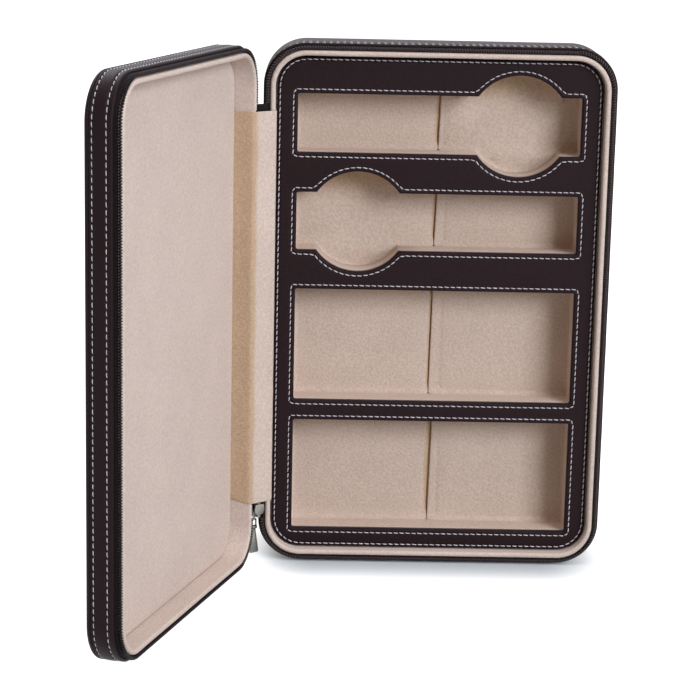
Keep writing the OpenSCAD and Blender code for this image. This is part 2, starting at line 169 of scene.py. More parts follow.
def outline(arc):
    """Point, outward normal and direction at arc lengths along the lip's outer face, which starts
    half way up the spine side and runs down and round. A straight is start + length * direction,
    and a corner is centre + radius * (cos, sin)."""
    arc = np.asarray(arc, float) % AROUND
    leg = np.clip(np.searchsorted(LEG_START, arc, side="right") - 1, 0, len(_LEGS) - 1)
    run, turn, anchor = arc - LEG_START[leg], LEG_ANGLE[leg], LEG_ANCHOR[leg]
    bend = turn + run / CORNER_R
    round_part = LEG_IS_ARC[leg][:, None]
    straight = np.stack([np.cos(turn), np.sin(turn)], -1)
    radial = np.stack([np.cos(bend), np.sin(bend)], -1)
    point = np.where(round_part, anchor + CORNER_R * radial, anchor + run[:, None] * straight)
    beside = np.stack([straight[:, 1], -straight[:, 0]], -1)
    normal = np.where(round_part, radial, beside)
    return point, normal, np.stack([-normal[:, 1], normal[:, 0]], -1)


def outline_loop(arc):
    """The outline's loop at arc lengths, for any growth: point + growth * normal."""
    point, normal, _ = outline(arc)
    return lambda grow: point + grow * normal


def spine_arc(z):
    """Arc length of the point at height z on the spine side, below or above its middle."""
    return LIP_H / 2 - z if z < LIP_H / 2 else AROUND - (z - LIP_H / 2)


def ring_arcs(corner_parts, step):
    """Arc lengths round the whole outline, with even parts in each corner and on each straight."""
    parts = [
        corner_parts if arc else max(2, round(leg / step)) for leg, arc in zip(_LEGS, LEG_IS_ARC)
    ]
    spans = zip(LEG_START[:-1], LEG_START[1:], parts)
    return np.concatenate([np.linspace(a, b, n, endpoint=False) for a, b, n in spans])


def running(line):
    """Length run up to each point of a polyline."""
    return np.concatenate([[0.0], np.cumsum(np.linalg.norm(np.diff(line, axis=0), axis=1))])


def sampled(line, count):
    """A count of points spaced evenly along a polyline, by its running length."""
    run = running(line)
    at = np.linspace(0, run[-1], count)
    return np.stack([np.interp(at, run, line[:, k]) for k in range(line.shape[1])], -1)


def even_arcs(start, end, pitch, out):
    """Arc lengths from start to end that are evenly spaced on the outline set out by out."""
    dense = np.linspace(start, end, 6000)
    run = running(outline_loop(dense)(out))
    count = max(1, round(run[-1] / pitch))
    return np.interp(np.linspace(0, run[-1], count + 1), run, dense)


def carried(arc, out, depth):
    """A profile carried round the outline: point + out * normal at each arc length, at its depth.
    out and depth hold one row for each arc length, or one row for all."""
    point, normal, _ = outline(arc)
    out, depth = np.broadcast_arrays(np.atleast_2d(out), np.atleast_2d(depth))
    out = np.broadcast_to(out, (len(arc), out.shape[1]))
    depth = np.broadcast_to(depth, (len(arc), depth.shape[1]))
    xz = point[:, None, :] + out[..., None] * normal[:, None, :]
    return np.stack([xz[..., 0], depth, xz[..., 1]], -1)


def opening(x0, x1, z0, z1, head_x, grow, corner):
    """Closed loop round a pocket opening, grown by grow: a rectangle with corner arcs, joined by
    two arcs of a circle where it has a round bay. Each stretch always has the same number of
    points, so loops of different growth match point for point."""
    corner_points, bay_points, parts = 5, 49, 7
    x0, x1, z0, z1 = x0 - grow, x1 + grow, z0 - grow, z1 + grow
    quarter = np.radians(np.linspace(0, 90, corner_points))
    corners = [(x0, z0, 180), (x1, z0, 270), (x1, z1, 0), (x0, z1, 90)]
    loop = []
    for k, (cx, cz, start) in enumerate(corners):
        centre = [cx + (corner if cx == x0 else -corner), cz + (corner if cz == z0 else -corner)]
        a = math.radians(start) + quarter
        loop.append(centre + corner * np.stack([np.cos(a), np.sin(a)], -1))
        nx, nz, _ = corners[(k + 1) % 4]
        first = loop[-1][-1]
        last = np.array(
            [
                nx + (0 if cx == nx else -corner if k == 0 else corner),
                nz + (0 if cz == nz else -corner if k == 1 else corner),
            ]
        )
        if head_x is not None and k in (0, 2):
            radius = HEAD_D / 2 + grow
            mid_z, half = (z0 + z1) / 2, (z1 - z0) / 2
            lean = math.asin(half / radius)
            chord = radius * math.cos(lean)
            a = np.linspace(lean, math.pi - lean, bay_points) + (math.pi if k == 0 else 0)
            arc = np.stack([head_x + radius * np.cos(a), mid_z + radius * np.sin(a)], -1)
            side = -1 if k == 0 else 1
            t = np.linspace(0, 1, parts + 1)[1:-1, None]
            near, far = np.array([head_x + side * chord, cz]), np.array([head_x - side * chord, cz])
            loop += [first + t * (near - first), arc, far + t * (last - far)]
        else:
            t = np.linspace(0, 1, 2 * parts + 1)[1:-1, None]
            loop.append(first + t * (last - first))
    return np.concatenate(loop)


def window(i, grow, corner=None):
    """Loop of window i of the frame, grown by grow."""
    radius = max(1.0 + grow, 0.25) if corner is None else corner
    return opening(
        WINDOW_SIDE, LIP_W - WINDOW_SIDE, WINDOW_Z[i], WINDOW_Z[i] + WINDOW_H[i],
        HEAD_X[i], grow, radius,
    )


def half_window(i, side, grow):
    """Loop of the left (-1) or right (1) padded board of pocket i."""
    gap, mid = 0.25, LIP_W / 2
    x0, x1 = (WINDOW_SIDE, mid - gap) if side < 0 else (mid + gap, LIP_W - WINDOW_SIDE)
    head = HEAD_X[i] if HEAD_X[i] is not None and (HEAD_X[i] - mid) * side > 0 else None
    margin = TRAY_SET - 0.05
    return opening(
        x0 - (margin if side < 0 else 0), x1 + (margin if side > 0 else 0),
        WINDOW_Z[i] - margin, WINDOW_Z[i] + WINDOW_H[i] + margin,
        head, grow, max(1.0 + grow, 0.25),
    )


def evenly(loop, pitch):
    """Points spaced evenly round a closed loop, with the first one again at the end."""
    line = np.concatenate([loop, loop[:1]])
    return sampled(line, max(2, round(running(line)[-1] / pitch)) + 1)


def smooth_path(points, count):
    """Catmull-Rom curve through the points, sampled evenly along its length."""
    p = np.asarray(points, float)
    p = np.concatenate([[2 * p[0] - p[1]], p, [2 * p[-1] - p[-2]]])
    t = np.linspace(0, len(p) - 3 - 1e-9, 40 * (len(p) - 3))
    k, f = t.astype(int), (t % 1)[:, None]
    a, b, c, d = p[k], p[k + 1], p[k + 2], p[k + 3]
    curve = 0.5 * (
        2 * b + (c - a) * f + (2 * a - 5 * b + 4 * c - d) * f**2 + (3 * b - a - 3 * c + d) * f**3
    )
    return sampled(curve, count)


def ripple(a, b, size, seed):
    """Gentle unevenness, about -1 to 1: a sum of sine waves in different directions whose
    wavelengths are near size."""
    rng = np.random.default_rng(seed)
    total = 0.0
    for angle, stretch, phase in rng.uniform([0, 0.6, 0], [2 * np.pi, 1.7, 2 * np.pi], (7, 3)):
        k = 2 * np.pi * stretch / size
        total = total + np.sin(k * (a * math.cos(angle) + b * math.sin(angle)) + phase)
    return total / 4


def ramped(x):
    """x held between 0 and 1."""
    return np.clip(x, 0, 1)


def eased(x):
    """x held between 0 and 1, with a soft start and a soft end: x^2 (3 - 2x)."""
    x = ramped(x)
    return x * x * (3 - 2 * x)


def quarter_turn(count):
    """A count of angles from 90 degrees down to 0."""
    return np.radians(np.linspace(90, 0, count))


# Meshes ---------------------------------------------------------------------------------


def grid_faces(nu, nv, wrap_u, wrap_v):
    """Four-sided faces between neighbours in a grid of nu by nv points, closed where it wraps."""
    u = np.arange(nu if wrap_u else nu - 1)[:, None]
    v = np.arange(nv if wrap_v else nv - 1)[None, :]
    after, beside = (u + 1) % nu, (v + 1) % nv
    corners = [u * nv + v, after * nv + v, after * nv + beside, u * nv + beside]
    return np.stack([c + 0 * u + 0 * v for c in corners], -1).reshape(-1, 4)


def tube(points, closed_path):
    """A closed profile carried along a path: (path, profile, 3) points, with flat ends where the
    path is open."""
    nu, nv = points.shape[:2]
    faces = [grid_faces(nu, nv, closed_path, True)]
    if not closed_path:
        ends = np.arange(nv)
        faces.append(np.stack([ends, ((nu - 1) * nv + ends)[::-1]]))
    return points.reshape(-1, 3), faces


def is_inside(points, loop):
    """Whether each point lies in a closed loop, by counting crossings of a ray."""
    x, z = points[:, :1], points[:, 1:]
    ax, az = loop[:, 0], loop[:, 1]
    bx, bz = np.roll(ax, -1), np.roll(az, -1)
    crosses = (az > z) != (bz > z)
    slope = np.where(bz == az, 1e-12, bz - az)
    return (crosses & (x < (bx - ax) * (z - az) / slope + ax)).sum(1) % 2 == 1


def distance_to(points, loops):
    """Distance of each point from the nearest of the loops' points."""
    edge = np.concatenate(loops)
    return np.concatenate(
        [
            np.sqrt(((part[:, None] - edge[None]) ** 2).sum(-1)).min(1)
            for part in np.array_split(points, max(1, len(points) // 800))
        ]
    )


def web(loops, step, extra=None):
    """Triangles that fill the first loop and leave out the others, over a staggered grid of
    inner points, which make way for any extra ones. Returns the inner points and the triangles
    over loops and inner points."""
    low, high = loops[0].min(0), loops[0].max(0)
    clear, flat_row = 0.55 * step, 0.87
    row = np.arange(low[1], high[1], step * flat_row)
    col = np.arange(low[0], high[0], step)
    x, z = np.meshgrid(col, row)
    x = x + (np.arange(len(row)) % 2)[:, None] * step / 2
    inner = np.stack([x.ravel(), z.ravel()], -1)
    if extra is not None:
        inner = np.concatenate([inner[distance_to(inner, [extra]) > 0.4 * step], extra])
        clear = 0.55
    keep = is_inside(inner, loops[0]) & (distance_to(inner, loops) > clear)
    for hole in loops[1:]:
        keep &= ~is_inside(inner, hole)
    inner = inner[keep]
    points = np.concatenate([*loops, inner])
    edges, start = [], 0
    for loop in loops:
        ids = np.arange(start, start + len(loop))
        edges.append(np.stack([ids, np.roll(ids, -1)], -1))
        start += len(loop)
    made = delaunay_2d_cdt(
        [Vector(p) for p in points.tolist()], np.concatenate(edges).tolist(), [], 0, 1e-6
    )
    if not all(made[3]):
        raise RuntimeError("two loops of a panel cross")
    source = np.array([first[0] for first in made[3]])
    faces = source[np.array(made[2])]
    centre = points[faces].mean(1)
    keep = is_inside(centre, loops[0])
    for hole in loops[1:]:
        keep &= ~is_inside(centre, hole)
    faces = faces[keep]
    a, b, c = (points[faces[:, k]] for k in range(3))
    turn = (b - a)[:, 0] * (c - a)[:, 1] - (b - a)[:, 1] * (c - a)[:, 0]
    return inner, np.where(turn[:, None] > 0, faces, faces[:, ::-1])


def plate(rims, step, face=None, extra=None):
    """A closed panel: rims are (rings, points, 3) arrays, the outer edge first and holes after it,
    each running from the face over the edge to the back. Webs fill the face and the back, and
    face gives the depth that is added to the face's inner points from their distance to the edge
    and their place. extra are inner points that the face has to have."""
    rims = [rims[0], *[r[:, ::-1] for r in rims[1:]]]
    starts = np.concatenate([[0], np.cumsum([r.shape[0] * r.shape[1] for r in rims])])
    points = [r.reshape(-1, 3) for r in rims]
    faces = [grid_faces(*r.shape[:2], False, True) + s for r, s in zip(rims, starts)]
    total = starts[-1]
    for ring in (0, -1):
        loops = [r[ring] for r in rims]
        flat = [p[:, [0, 2]] for p in loops]
        inner, tris = web(flat, step, extra if ring == 0 else None)
        depth = np.full(len(inner), loops[0][:, 1].mean())
        if ring == 0 and face is not None:
            depth = depth + face(distance_to(inner, flat), inner)
        firsts = [s + (ring % r.shape[0]) * r.shape[1] for r, s in zip(rims, starts)]
        ids = [first + np.arange(r.shape[1]) for r, first in zip(rims, firsts)]
        ids = np.concatenate([*ids, total + np.arange(len(inner))])
        points.append(np.stack([inner[:, 0], depth, inner[:, 1]], -1))
        total += len(inner)
        faces.append(ids[tris] if ring == 0 else ids[tris][:, ::-1])
    return np.concatenate(points), faces


def cushion(crown, reach, waves, size, seed, calm):
    """Depth that a padded face adds at each distance from its edge and place: crown * (1 - (1 -
    distance / reach)^2), with slow waves that begin at the edge and are full at calm."""

    def depth(far, at):
        swell = crown * (1 - (1 - ramped(far / reach)) ** 2)
        return swell + waves * ripple(at[:, 0], at[:, 1], size, seed) * ramped(far / calm)

    return depth


def rim(loop_at, profile):
    """Rings of a panel's edge: for each (growth, depth) of the profile, the loop of that growth."""
    return np.stack(
        [
            np.insert(loop, 1, depth, axis=1)
            for loop, depth in ((loop_at(grow), depth) for grow, depth in profile)
        ]
    )


def stitch_parts(start, end, normal, share, radius, lift, sag, slant=0.09):
    """Stitches from hole to hole as bent capsules: a circle of six points carried along five
    stations, which closes to a point at both ends. share is the part of the way that a stitch
    fills, and lift its height at the middle. Its line sags with the square of the distance from
    there, so both ends sink into the hole. Each leans across its row by slant at its ends, as a
    lockstitch does."""
    t = np.array([-0.86, -0.5, 0.0, 0.5, 0.86])
    swell = np.array([0.62, 0.95, 1.0, 0.95, 0.62])
    ring, last, tip = 6, 4 * 6, 5 * 6
    a = np.radians(np.arange(ring) * 60)
    along = np.repeat(t, ring)
    up = np.outer(swell, np.sin(a)).ravel() * radius + lift - sag * along**2
    side = np.outer(swell, np.cos(a)).ravel() * radius
    along = np.concatenate([along, [-1, 1]])
    up = np.concatenate([up, [lift - sag, lift - sag]])
    side = np.concatenate([side, [0, 0]]) + slant * along
    middle, span = (start + end) / 2, end - start
    length = np.linalg.norm(span, axis=1, keepdims=True)
    direction = span / length
    across = np.cross(direction, normal)
    points = (
        middle[:, None]
        + (0.5 * share * length)[:, None] * along[None, :, None] * direction[:, None]
        + up[None, :, None] * normal[:, None]
        + side[None, :, None] * across[:, None]
    )
    k = np.arange(ring)
    after = (k + 1) % ring
    body = grid_faces(len(t), ring, False, True)
    tips = np.concatenate(
        [
            np.stack([np.full(ring, tip), after, k], -1),
            np.stack([np.full(ring, tip + 1), last + k, last + after], -1),
        ]
    )
    offset = (np.arange(len(start)) * (tip + 2))[:, None, None]
    faces = [(body[None] + offset).reshape(-1, 4), (tips[None, :, ::-1] + offset).reshape(-1, 3)]
    return points.reshape(-1, 3), faces


def joined(parts):
    """Several (points, faces) as one."""
    points, faces, start = [], [], 0
    for p, fs in parts:
        points.append(p)
        faces += [f + start for f in fs]
        start += len(p)
    return np.concatenate(points), faces


def volume(points, faces):
    """Signed volume of a closed mesh: a sixth of the sum of a . (b x c) over its triangles."""
    total = 0.0
    for f in faces:
        for k in range(1, f.shape[1] - 1):
            a, b, c = points[f[:, 0]], points[f[:, k]], points[f[:, k + 1]]
            total += (a * np.cross(b, c)).sum() / 6
    return total



def shown(name, mesh, kind, body, replaces, sharp):
    """Puts a mesh into the scene with its finish, its body and what it replaces."""
    mesh.materials.clear()
    mesh.materials.append(finish_of(kind))
    mesh.shade_smooth()
    mesh.set_sharp_from_angle(angle=math.radians(sharp))
    obj = bpy.data.objects.new(name, mesh)
    bpy.context.scene.collection.objects.link(obj)
    if replaces:
        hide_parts(*replaces)
    if body:
        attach(obj, body)
    return obj


def piece(name, part, place, kind, body=None, replaces=(), sharp=50, lay=0.0):
    """Puts worked-out points and faces into a mesh object in the part's frame, facing outwards.
    Its last argument, from 0 for none to 1 for full, is painted shade and a darker tone that the
    suede and the coil paint into their colour."""
    points, faces = part
    points = place(points) * MM
    if volume(points, faces) < 0:
        faces = [f[:, ::-1] for f in faces]
    corners = np.concatenate([f.ravel() for f in faces])
    sizes = np.concatenate([np.full(len(f), f.shape[1]) for f in faces])
    starts = np.concatenate([[0], np.cumsum(sizes)[:-1]])
    mesh = bpy.data.meshes.new(name)
    mesh.vertices.add(len(points))
    mesh.vertices.foreach_set("co", points.astype(np.float32).ravel())
    mesh.loops.add(len(corners))
    mesh.loops.foreach_set("vertex_index", corners.astype(np.int32))
    mesh.polygons.add(len(sizes))
    mesh.polygons.foreach_set("loop_start", starts.astype(np.int32))
    mesh.update(calc_edges=True)
    if mesh.validate():
        raise RuntimeError(f"{name}: the mesh had faults")
    layer = mesh.attributes.new("lay", "FLOAT", "POINT")
    layer.data.foreach_set("value", (np.zeros(len(points)) + lay).astype(np.float32))
    return shown(name, mesh, kind, body, replaces, sharp)


# Materials ------------------------------------------------------------------------------


def linear(colour, gain=1.0):
    """sRGB hex to linear RGBA, gain times as bright."""
    v = [int(colour.lstrip("#")[k : k + 2], 16) / 255 for k in (0, 2, 4)]
    v = [c / 12.92 if c <= 0.04045 else ((c + 0.055) / 1.055) ** 2.4 for c in v]
    return (*[gain * c for c in v], 1.0)


def add(tree, kind, inputs=None, **settings):
    """Adds a node: settings are its properties, inputs its sockets' values or links."""
    made = tree.nodes.new("ShaderNode" + kind)
    for key, value in settings.items():
        setattr(made, key, value)
    for key, value in (inputs or {}).items():
        if isinstance(value, bpy.types.NodeSocket):
            tree.links.new(value, made.inputs[key])
        else:
            made.inputs[key].default_value = value
    return made


def per_mm(size):
    """Texture scale, in waves per metre, of a pattern whose size is given in millimetres."""
    return 1 / (size * MM)


def noise(tree, at, size, detail=2.0, rough=0.5, output="Fac"):
    """Noise, 0 to 1, in patches of about size millimetres."""
    inputs = {"Vector": at, "Scale": per_mm(size), "Detail": detail, "Roughness": rough}
    return add(tree, "TexNoise", inputs).outputs[output]


def threads(tree, at, size, distortion, way):
    """Waves, 0 to 1, of parallel threads that are size millimetres apart."""
    inputs = {"Vector": at, "Scale": per_mm(size) / 6.28, "Distortion": distortion}
    return add(tree, "TexWave", inputs, bands_direction=way).outputs["Fac"]


def stretched(tree, at, along):
    """Coordinates whose patterns are drawn out upwards: along is one over how far."""
    return add(tree, "Mapping", {"Vector": at, "Scale": (1, 1, along)}).outputs[0]


def ramp(tree, value, low, high, start=0.0, end=1.0, ease="LINEAR"):
    """A value between low and high carried over to start and end, and held outside them."""
    inputs = {"Value": value, "From Min": low, "From Max": high, "To Min": start, "To Max": end}
    return add(tree, "MapRange", inputs, interpolation_type=ease).outputs[0]


def mixed(tree, factor, a, b):
    """Colour a where the factor is 0 and colour b where it is 1."""
    inputs = {"Factor": factor, "A": a, "B": b}
    return add(tree, "Mix", inputs, data_type="RGBA").outputs["Result"]


def combined(tree, operation, *values):
    """Numbers taken together two by two with a math node."""
    total = values[0]
    for value in values[1:]:
        total = add(tree, "Math", {0: total, 1: value}, operation=operation).outputs[0]
    return total


def vectors(tree, operation, *values):
    """Result of a vector math node."""
    return add(tree, "VectorMath", dict(enumerate(values)), operation=operation).outputs[0]


def relief(tree, height, distance, strength, under=None, invert=False):
    """Normals of a surface that height raises by up to distance millimetres, over the relief
    under it."""
    inputs = {"Height": height, "Distance": distance * MM, "Strength": strength}
    if under is not None:
        inputs["Normal"] = under
    return add(tree, "Bump", inputs, invert=invert).outputs[0]


def seen_rays(tree):
    """1 for camera, gloss and glass rays, and 0 for the light that falls on things."""
    path = add(tree, "LightPath").outputs
    rays = [path[f"Is {kind} Ray"] for kind in ("Camera", "Glossy", "Transmission")]
    return combined(tree, "MAXIMUM", *rays)


def new_material(name):
    """An empty node material, its tree, and the object coordinates that its patterns read."""
    made = bpy.data.materials.new(name)
    made.use_nodes = True
    made.node_tree.nodes.clear()
    return made, made.node_tree, add(made.node_tree, "TexCoord").outputs["Object"]


def finished(made, inputs, kind="BsdfPrincipled"):
    """Ends a material with a shader whose sockets have these values or links."""
    shader = add(made.node_tree, kind, inputs).outputs[0]
    add(made.node_tree, "OutputMaterial", {"Surface": shader})
    return made


def calf_leather(name, colour):
    """Corrected calf leather, pigmented and plated. The eye sees a near-black brown with a satin
    sheen, fine rounded pebbles between creases, and slow waves where it is glued over board."""
    made, tree, at = new_material(name)
    grain, gloss = 0.85, 0.42
    warp = noise(tree, at, 2.2, output="Color")
    bent = vectors(tree, "MULTIPLY_ADD", warp, (0.7 * grain * MM,) * 3, at)
    pebble = add(
        tree, "TexVoronoi", {"Vector": bent, "Scale": per_mm(grain)}, feature="DISTANCE_TO_EDGE"
    )
    crease = ramp(tree, pebble.outputs["Distance"], 0.0, 0.22, ease="SMOOTHSTEP")
    pore = noise(tree, at, 0.28, 3.0)
    wave = noise(tree, at, 16)
    worn = [0.72 * a + 0.28 * b for a, b in zip(linear(colour), linear("#2a1c20"))]
    tint = mixed(tree, noise(tree, at, 34, 3.0), linear(colour), worn)
    low = relief(tree, wave, 0.35, 0.5)
    middle = relief(tree, crease, 0.05, 0.55, low)
    return finished(made, {
        "Base Color": mixed(tree, crease, linear(colour, 0.62), tint),
        "Roughness": ramp(tree, pore, 0.3, 0.7, gloss, gloss + 0.16), "IOR": 1.47,
        "Specular IOR Level": 0.12, "Sheen Weight": 0.12, "Sheen Roughness": 0.35,
        "Sheen Tint": (0.55, 0.5, 0.64, 1), "Normal": relief(tree, pore, 0.03, 0.5, middle),
    })


def microsuede(name, colour):
    """Brushed polyester microsuede, flocked and sueded. The eye sees a matt cream cloth with short
    nap lying in small patches, darker flecks between the fibres and a soft pale edge. An attribute
    paints it darker and more golden: painted shade where the case shades the cloth, and a constant
    darker, more golden tone in the pockets."""
    made, tree, at = new_material(name)
    deep, pale = linear(colour, 0.88), linear(colour, 1.054)
    lay = add(tree, "Attribute", attribute_name="lay").outputs["Fac"]
    patch = noise(tree, at, 1.2, 3.0, 0.55)
    # real nap is about 0.1 mm; it is drawn at 0.5 mm so that it shows in the render
    nap = noise(tree, at, 0.5, 3.0, 0.75)
    tone = mixed(tree, ramp(tree, patch, 0.32, 0.68, ease="SMOOTHSTEP"), deep, pale)
    # painted shade: the attribute read above paints the cloth darker and more golden where the case
    # shades it, and a constant darker, more golden tone in the pockets
    painted_shade_and_tone_tint = mixed(tree, lay, (1, 1, 1, 1), (0.85, 0.73, 0.55, 1))
    fleck = ramp(tree, nap, 0.34, 0.5, 0.9, 1.0)
    drift = ramp(tree, noise(tree, at, 28), 0.3, 0.7, 0.97, 1.03)
    paint = {
        0: vectors(tree, "MULTIPLY", tone, painted_shade_and_tone_tint),
        "Scale": combined(tree, "MULTIPLY", fleck, drift),
    }
    soft = relief(tree, patch, 0.34, ramp(tree, lay, 0.0, 0.24, 0.3, 0.85))
    return finished(made, {
        "Base Color": add(tree, "VectorMath", paint, operation="SCALE").outputs[0],
        "Roughness": 0.95, "Specular IOR Level": 0.12, "Sheen Weight": 0.18,
        "Sheen Roughness": 0.5, "Sheen Tint": pale, "Normal": relief(tree, nap, 0.08, 0.6, soft),
    })


def bonded_thread(name, colour):
    """Bonded polyester thread, three plies twisted. The eye sees a pale satin stitch with fine
    slanting ridges."""
    made, tree, at = new_material(name)
    twist = threads(tree, at, 0.45, 1.5, "DIAGONAL")
    fuzz = noise(tree, at, 3.0)
    return finished(made, {
        "Base Color": mixed(tree, fuzz, linear(colour, 0.5), linear(colour, 1.25)),
        "Roughness": 0.62, "Specular IOR Level": 0.35, "Sheen Weight": 0.1,
        "Normal": relief(tree, twist, 0.05, 0.5),
    })


def woven_tape(name, colour):
    """Woven polyester zip tape. The eye sees a matt dark herringbone of 0.4 mm threads."""
    made, tree, at = new_material(name)
    ways = [threads(tree, at, 0.8, 0.6, way) for way in ("Z", "DIAGONAL")]
    cross = combined(tree, "MAXIMUM", *ways)
    return finished(made, {
        "Base Color": mixed(tree, cross, linear(colour, 0.5), linear(colour)),
        "Roughness": 0.85, "Specular IOR Level": 0.12, "Sheen Weight": 0.05,
        "Normal": relief(tree, cross, 0.08, 0.7),
    })


def nylon_coil(name, colour):
    """Drawn nylon monofilament, dyed. The eye sees dark, softly glossy turns with small lights,
    over a black cord."""
    made, tree, at = new_material(name)
    mark = noise(tree, at, 0.6)
    turns = mixed(tree, mark, linear(colour, 0.7), linear(colour))
    # painted shade: the attribute read here paints the turns dark where they lie in shade, and the
    # cord black
    lay = add(tree, "Attribute", attribute_name="lay").outputs["Fac"]
    return finished(made, {
        "Base Color": mixed(tree, lay, turns, linear(colour, 0.05)),
        "Roughness": ramp(tree, mark, 0.0, 1.0, 0.28, 0.42), "IOR": 1.53,
        "Specular IOR Level": 0.1,
    })


def nickel_plate(name, colour):
    """Die-cast zinc, tumbled and nickel plated. The eye sees a bright grey metal with a faint
    orange peel and hair scratches from use."""
    made, tree, at = new_material(name)
    peel = noise(tree, at, 1.3)
    hair = noise(tree, stretched(tree, at, 0.06), 0.25, 3.0)
    return finished(made, {
        "Base Color": mixed(tree, peel, linear(colour, 0.86), linear(colour)), "Metallic": 1.0,
        "Roughness": ramp(tree, hair, 0.3, 0.7, 0.16, 0.28),
        "Normal": relief(tree, peel, 0.03, 0.4),
    })


def pressed_board(name, colour):
    """Calendered fibreboard. The eye sees a dull tan sheet with short fibres and darker specks."""
    made, tree, at = new_material(name)
    fibre = noise(tree, stretched(tree, at, 0.3), 0.8, 5.0)
    return finished(made, {
        "Base Color": mixed(tree, fibre, linear(colour, 0.6), linear(colour)),
        "Roughness": 0.88, "Normal": relief(tree, fibre, 0.05, 0.5),
    })


def cell_foam(name, colour):
    """Closed-cell polyethylene foam. The eye sees a chalky sheet of bubbles about 1 mm across."""
    made, tree, at = new_material(name)
    cell = add(tree, "TexVoronoi", {"Vector": at, "Scale": per_mm(1.0)}).outputs["Distance"]
    return finished(made, {
        "Base Color": mixed(tree, cell, linear(colour), linear(colour, 0.75)),
        "Roughness": 0.9, "Normal": relief(tree, cell, 0.2, 0.6, invert=True),
    })


def white_sweep(name, middle, half, fade):
    """Matt pale grey paper sweep. The eye sees plain white, also in gloss, with a soft contact
    shadow round the base's foot: for camera, gloss and glass rays light of its own is added, none
    at the base's foot and more away from it, so the grey paper shows there as partly real shadow
    and partly painted shadow. middle and half are the foot's, and fade holds the distances at which
    the light begins and is full. The distance from the foot is the length of max(0, |place -
    middle| - half)."""
    made, tree, at = new_material(name)
    away = vectors(tree, "ABSOLUTE", vectors(tree, "SUBTRACT", at, (*middle, 0)))
    away = vectors(tree, "MAXIMUM", vectors(tree, "SUBTRACT", away, (*half, 0)), (0, 0, 0))
    away = add(tree, "VectorMath", {0: away}, operation="LENGTH").outputs["Value"]
    # painted shadow: no glow at the foot, so the grey paper's shade there is partly painted
    lift = ramp(tree, away, fade[0] * MM, fade[1] * MM, ease="SMOOTHSTEP")
    tooth = relief(tree, noise(tree, at, 1.5), 0.02, 0.2)
    paper = add(tree, "BsdfDiffuse", {"Color": linear("#c2c7ca"), "Normal": tooth})
    level = combined(tree, "MULTIPLY", seen_rays(tree), lift)
    glow = add(tree, "Emission", {"Color": (1, 1, 1, 1), "Strength": level})
    return finished(made, {0: paper.outputs[0], 1: glow.outputs[0]}, "AddShader")


# each finish's maker, its material's name, the colour it takes and the slot it stands for
FINISHES = {
    "leather": (calf_leather, "espresso_calf_leather", "leather", "leather"),
    "suede": (microsuede, "cream_microsuede", "suede", "suede"),
    "thread": (bonded_thread, "mauve_bonded_thread", "thread", "leather"),
    "tape": (woven_tape, "black_woven_zip_tape", "zip_tape", "zip_tape"),
    "coil": (nylon_coil, "black_nylon_coil", "zip_coil", "zip_coil"),
    "metal": (nickel_plate, "nickel_plated_zinc", "metal", "slider_metal"),
    "board": (pressed_board, "tan_pressed_board", "board", "fibreboard"),
    "foam": (cell_foam, "white_cell_foam", "foam", "foam"),
}
_made = {}


def finish_of(kind):
    """The material of one of the case's finishes, made once with the user's colours."""
    if kind not in _made:
        make, name, colour, _ = FINISHES[kind]
        _made[kind] = make(name, getattr(bpy.context.scene.watch_case_colours, colour))
    return _made[kind]


# Sizes and colours that a user would change ---------------------------------------------


def length_of(name, description, millimetres):
    """A property that holds a length."""
    return bpy.props.FloatProperty(
        name=name, description=description, default=millimetres * MM, unit="LENGTH", precision=5
    )


def colour_of(name, description, colour):
    """A property that holds a colour as sRGB hex."""
    return bpy.props.StringProperty(name=name, description=description, default=colour)


class WatchCaseSizes(bpy.types.PropertyGroup):
    """Sizes of the finish, in metres."""

    frame_pitch: length_of("Frame stitch pitch", "Hole to hole in the frame's seams", 3.1)
    wall_pitch: length_of("Wall stitch pitch", "Hole to hole in each wall's two seams", 3.4)
    thread_d: length_of("Thread", "Diameter of the sewing thread", 0.58)
    # the real turns are about 1.1 mm apart; they are drawn wider so that they show in the render
    coil_pitch: length_of("Coil pitch", "Turn to turn along each zip coil", 1.3)
    pad_crown: length_of("Pad crown", "How far the padded boards swell at their middle", 0.35)


class WatchCaseColours(bpy.types.PropertyGroup):
    """Colours of the finishes, as sRGB hex."""

    leather: colour_of("Leather", "Colour of the leather", "#1f0f12")
    suede: colour_of("Suede", "Colour of the lining", "#cdbaaf")
    thread: colour_of("Thread", "Colour of the sewing thread", "#d2cacf")
    zip_tape: colour_of("Zip tape", "Colour of the zip's tape", "#1b1314")
    zip_coil: colour_of("Zip coil", "Colour of the zip's coil", "#56484b")
    metal: colour_of("Metal", "Colour of the plated metal", "#918d87")
    board: colour_of("Board", "Colour of the stiff boards", "#8a7a66")
    foam: colour_of("Foam", "Colour of the foam", "#d9d4c8")


# Shells ---------------------------------------------------------------------------------

WALL_ROWS = (6.8, 13.5)
# depth and width of the bell curves that a sewn groove is made of, in a wall and in the frame
WALL_GROOVE = ((0.42, 0.55), (0.10, 1.3))
FRAME_GROOVE = ((0.30, 0.42), (0.08, 1.0))


def groove(x, bells):
    """Depth of a sewn groove at x from its row: a sum of bell curves."""
    return sum(depth * np.exp(-((x / width) ** 2)) for depth, width in bells)


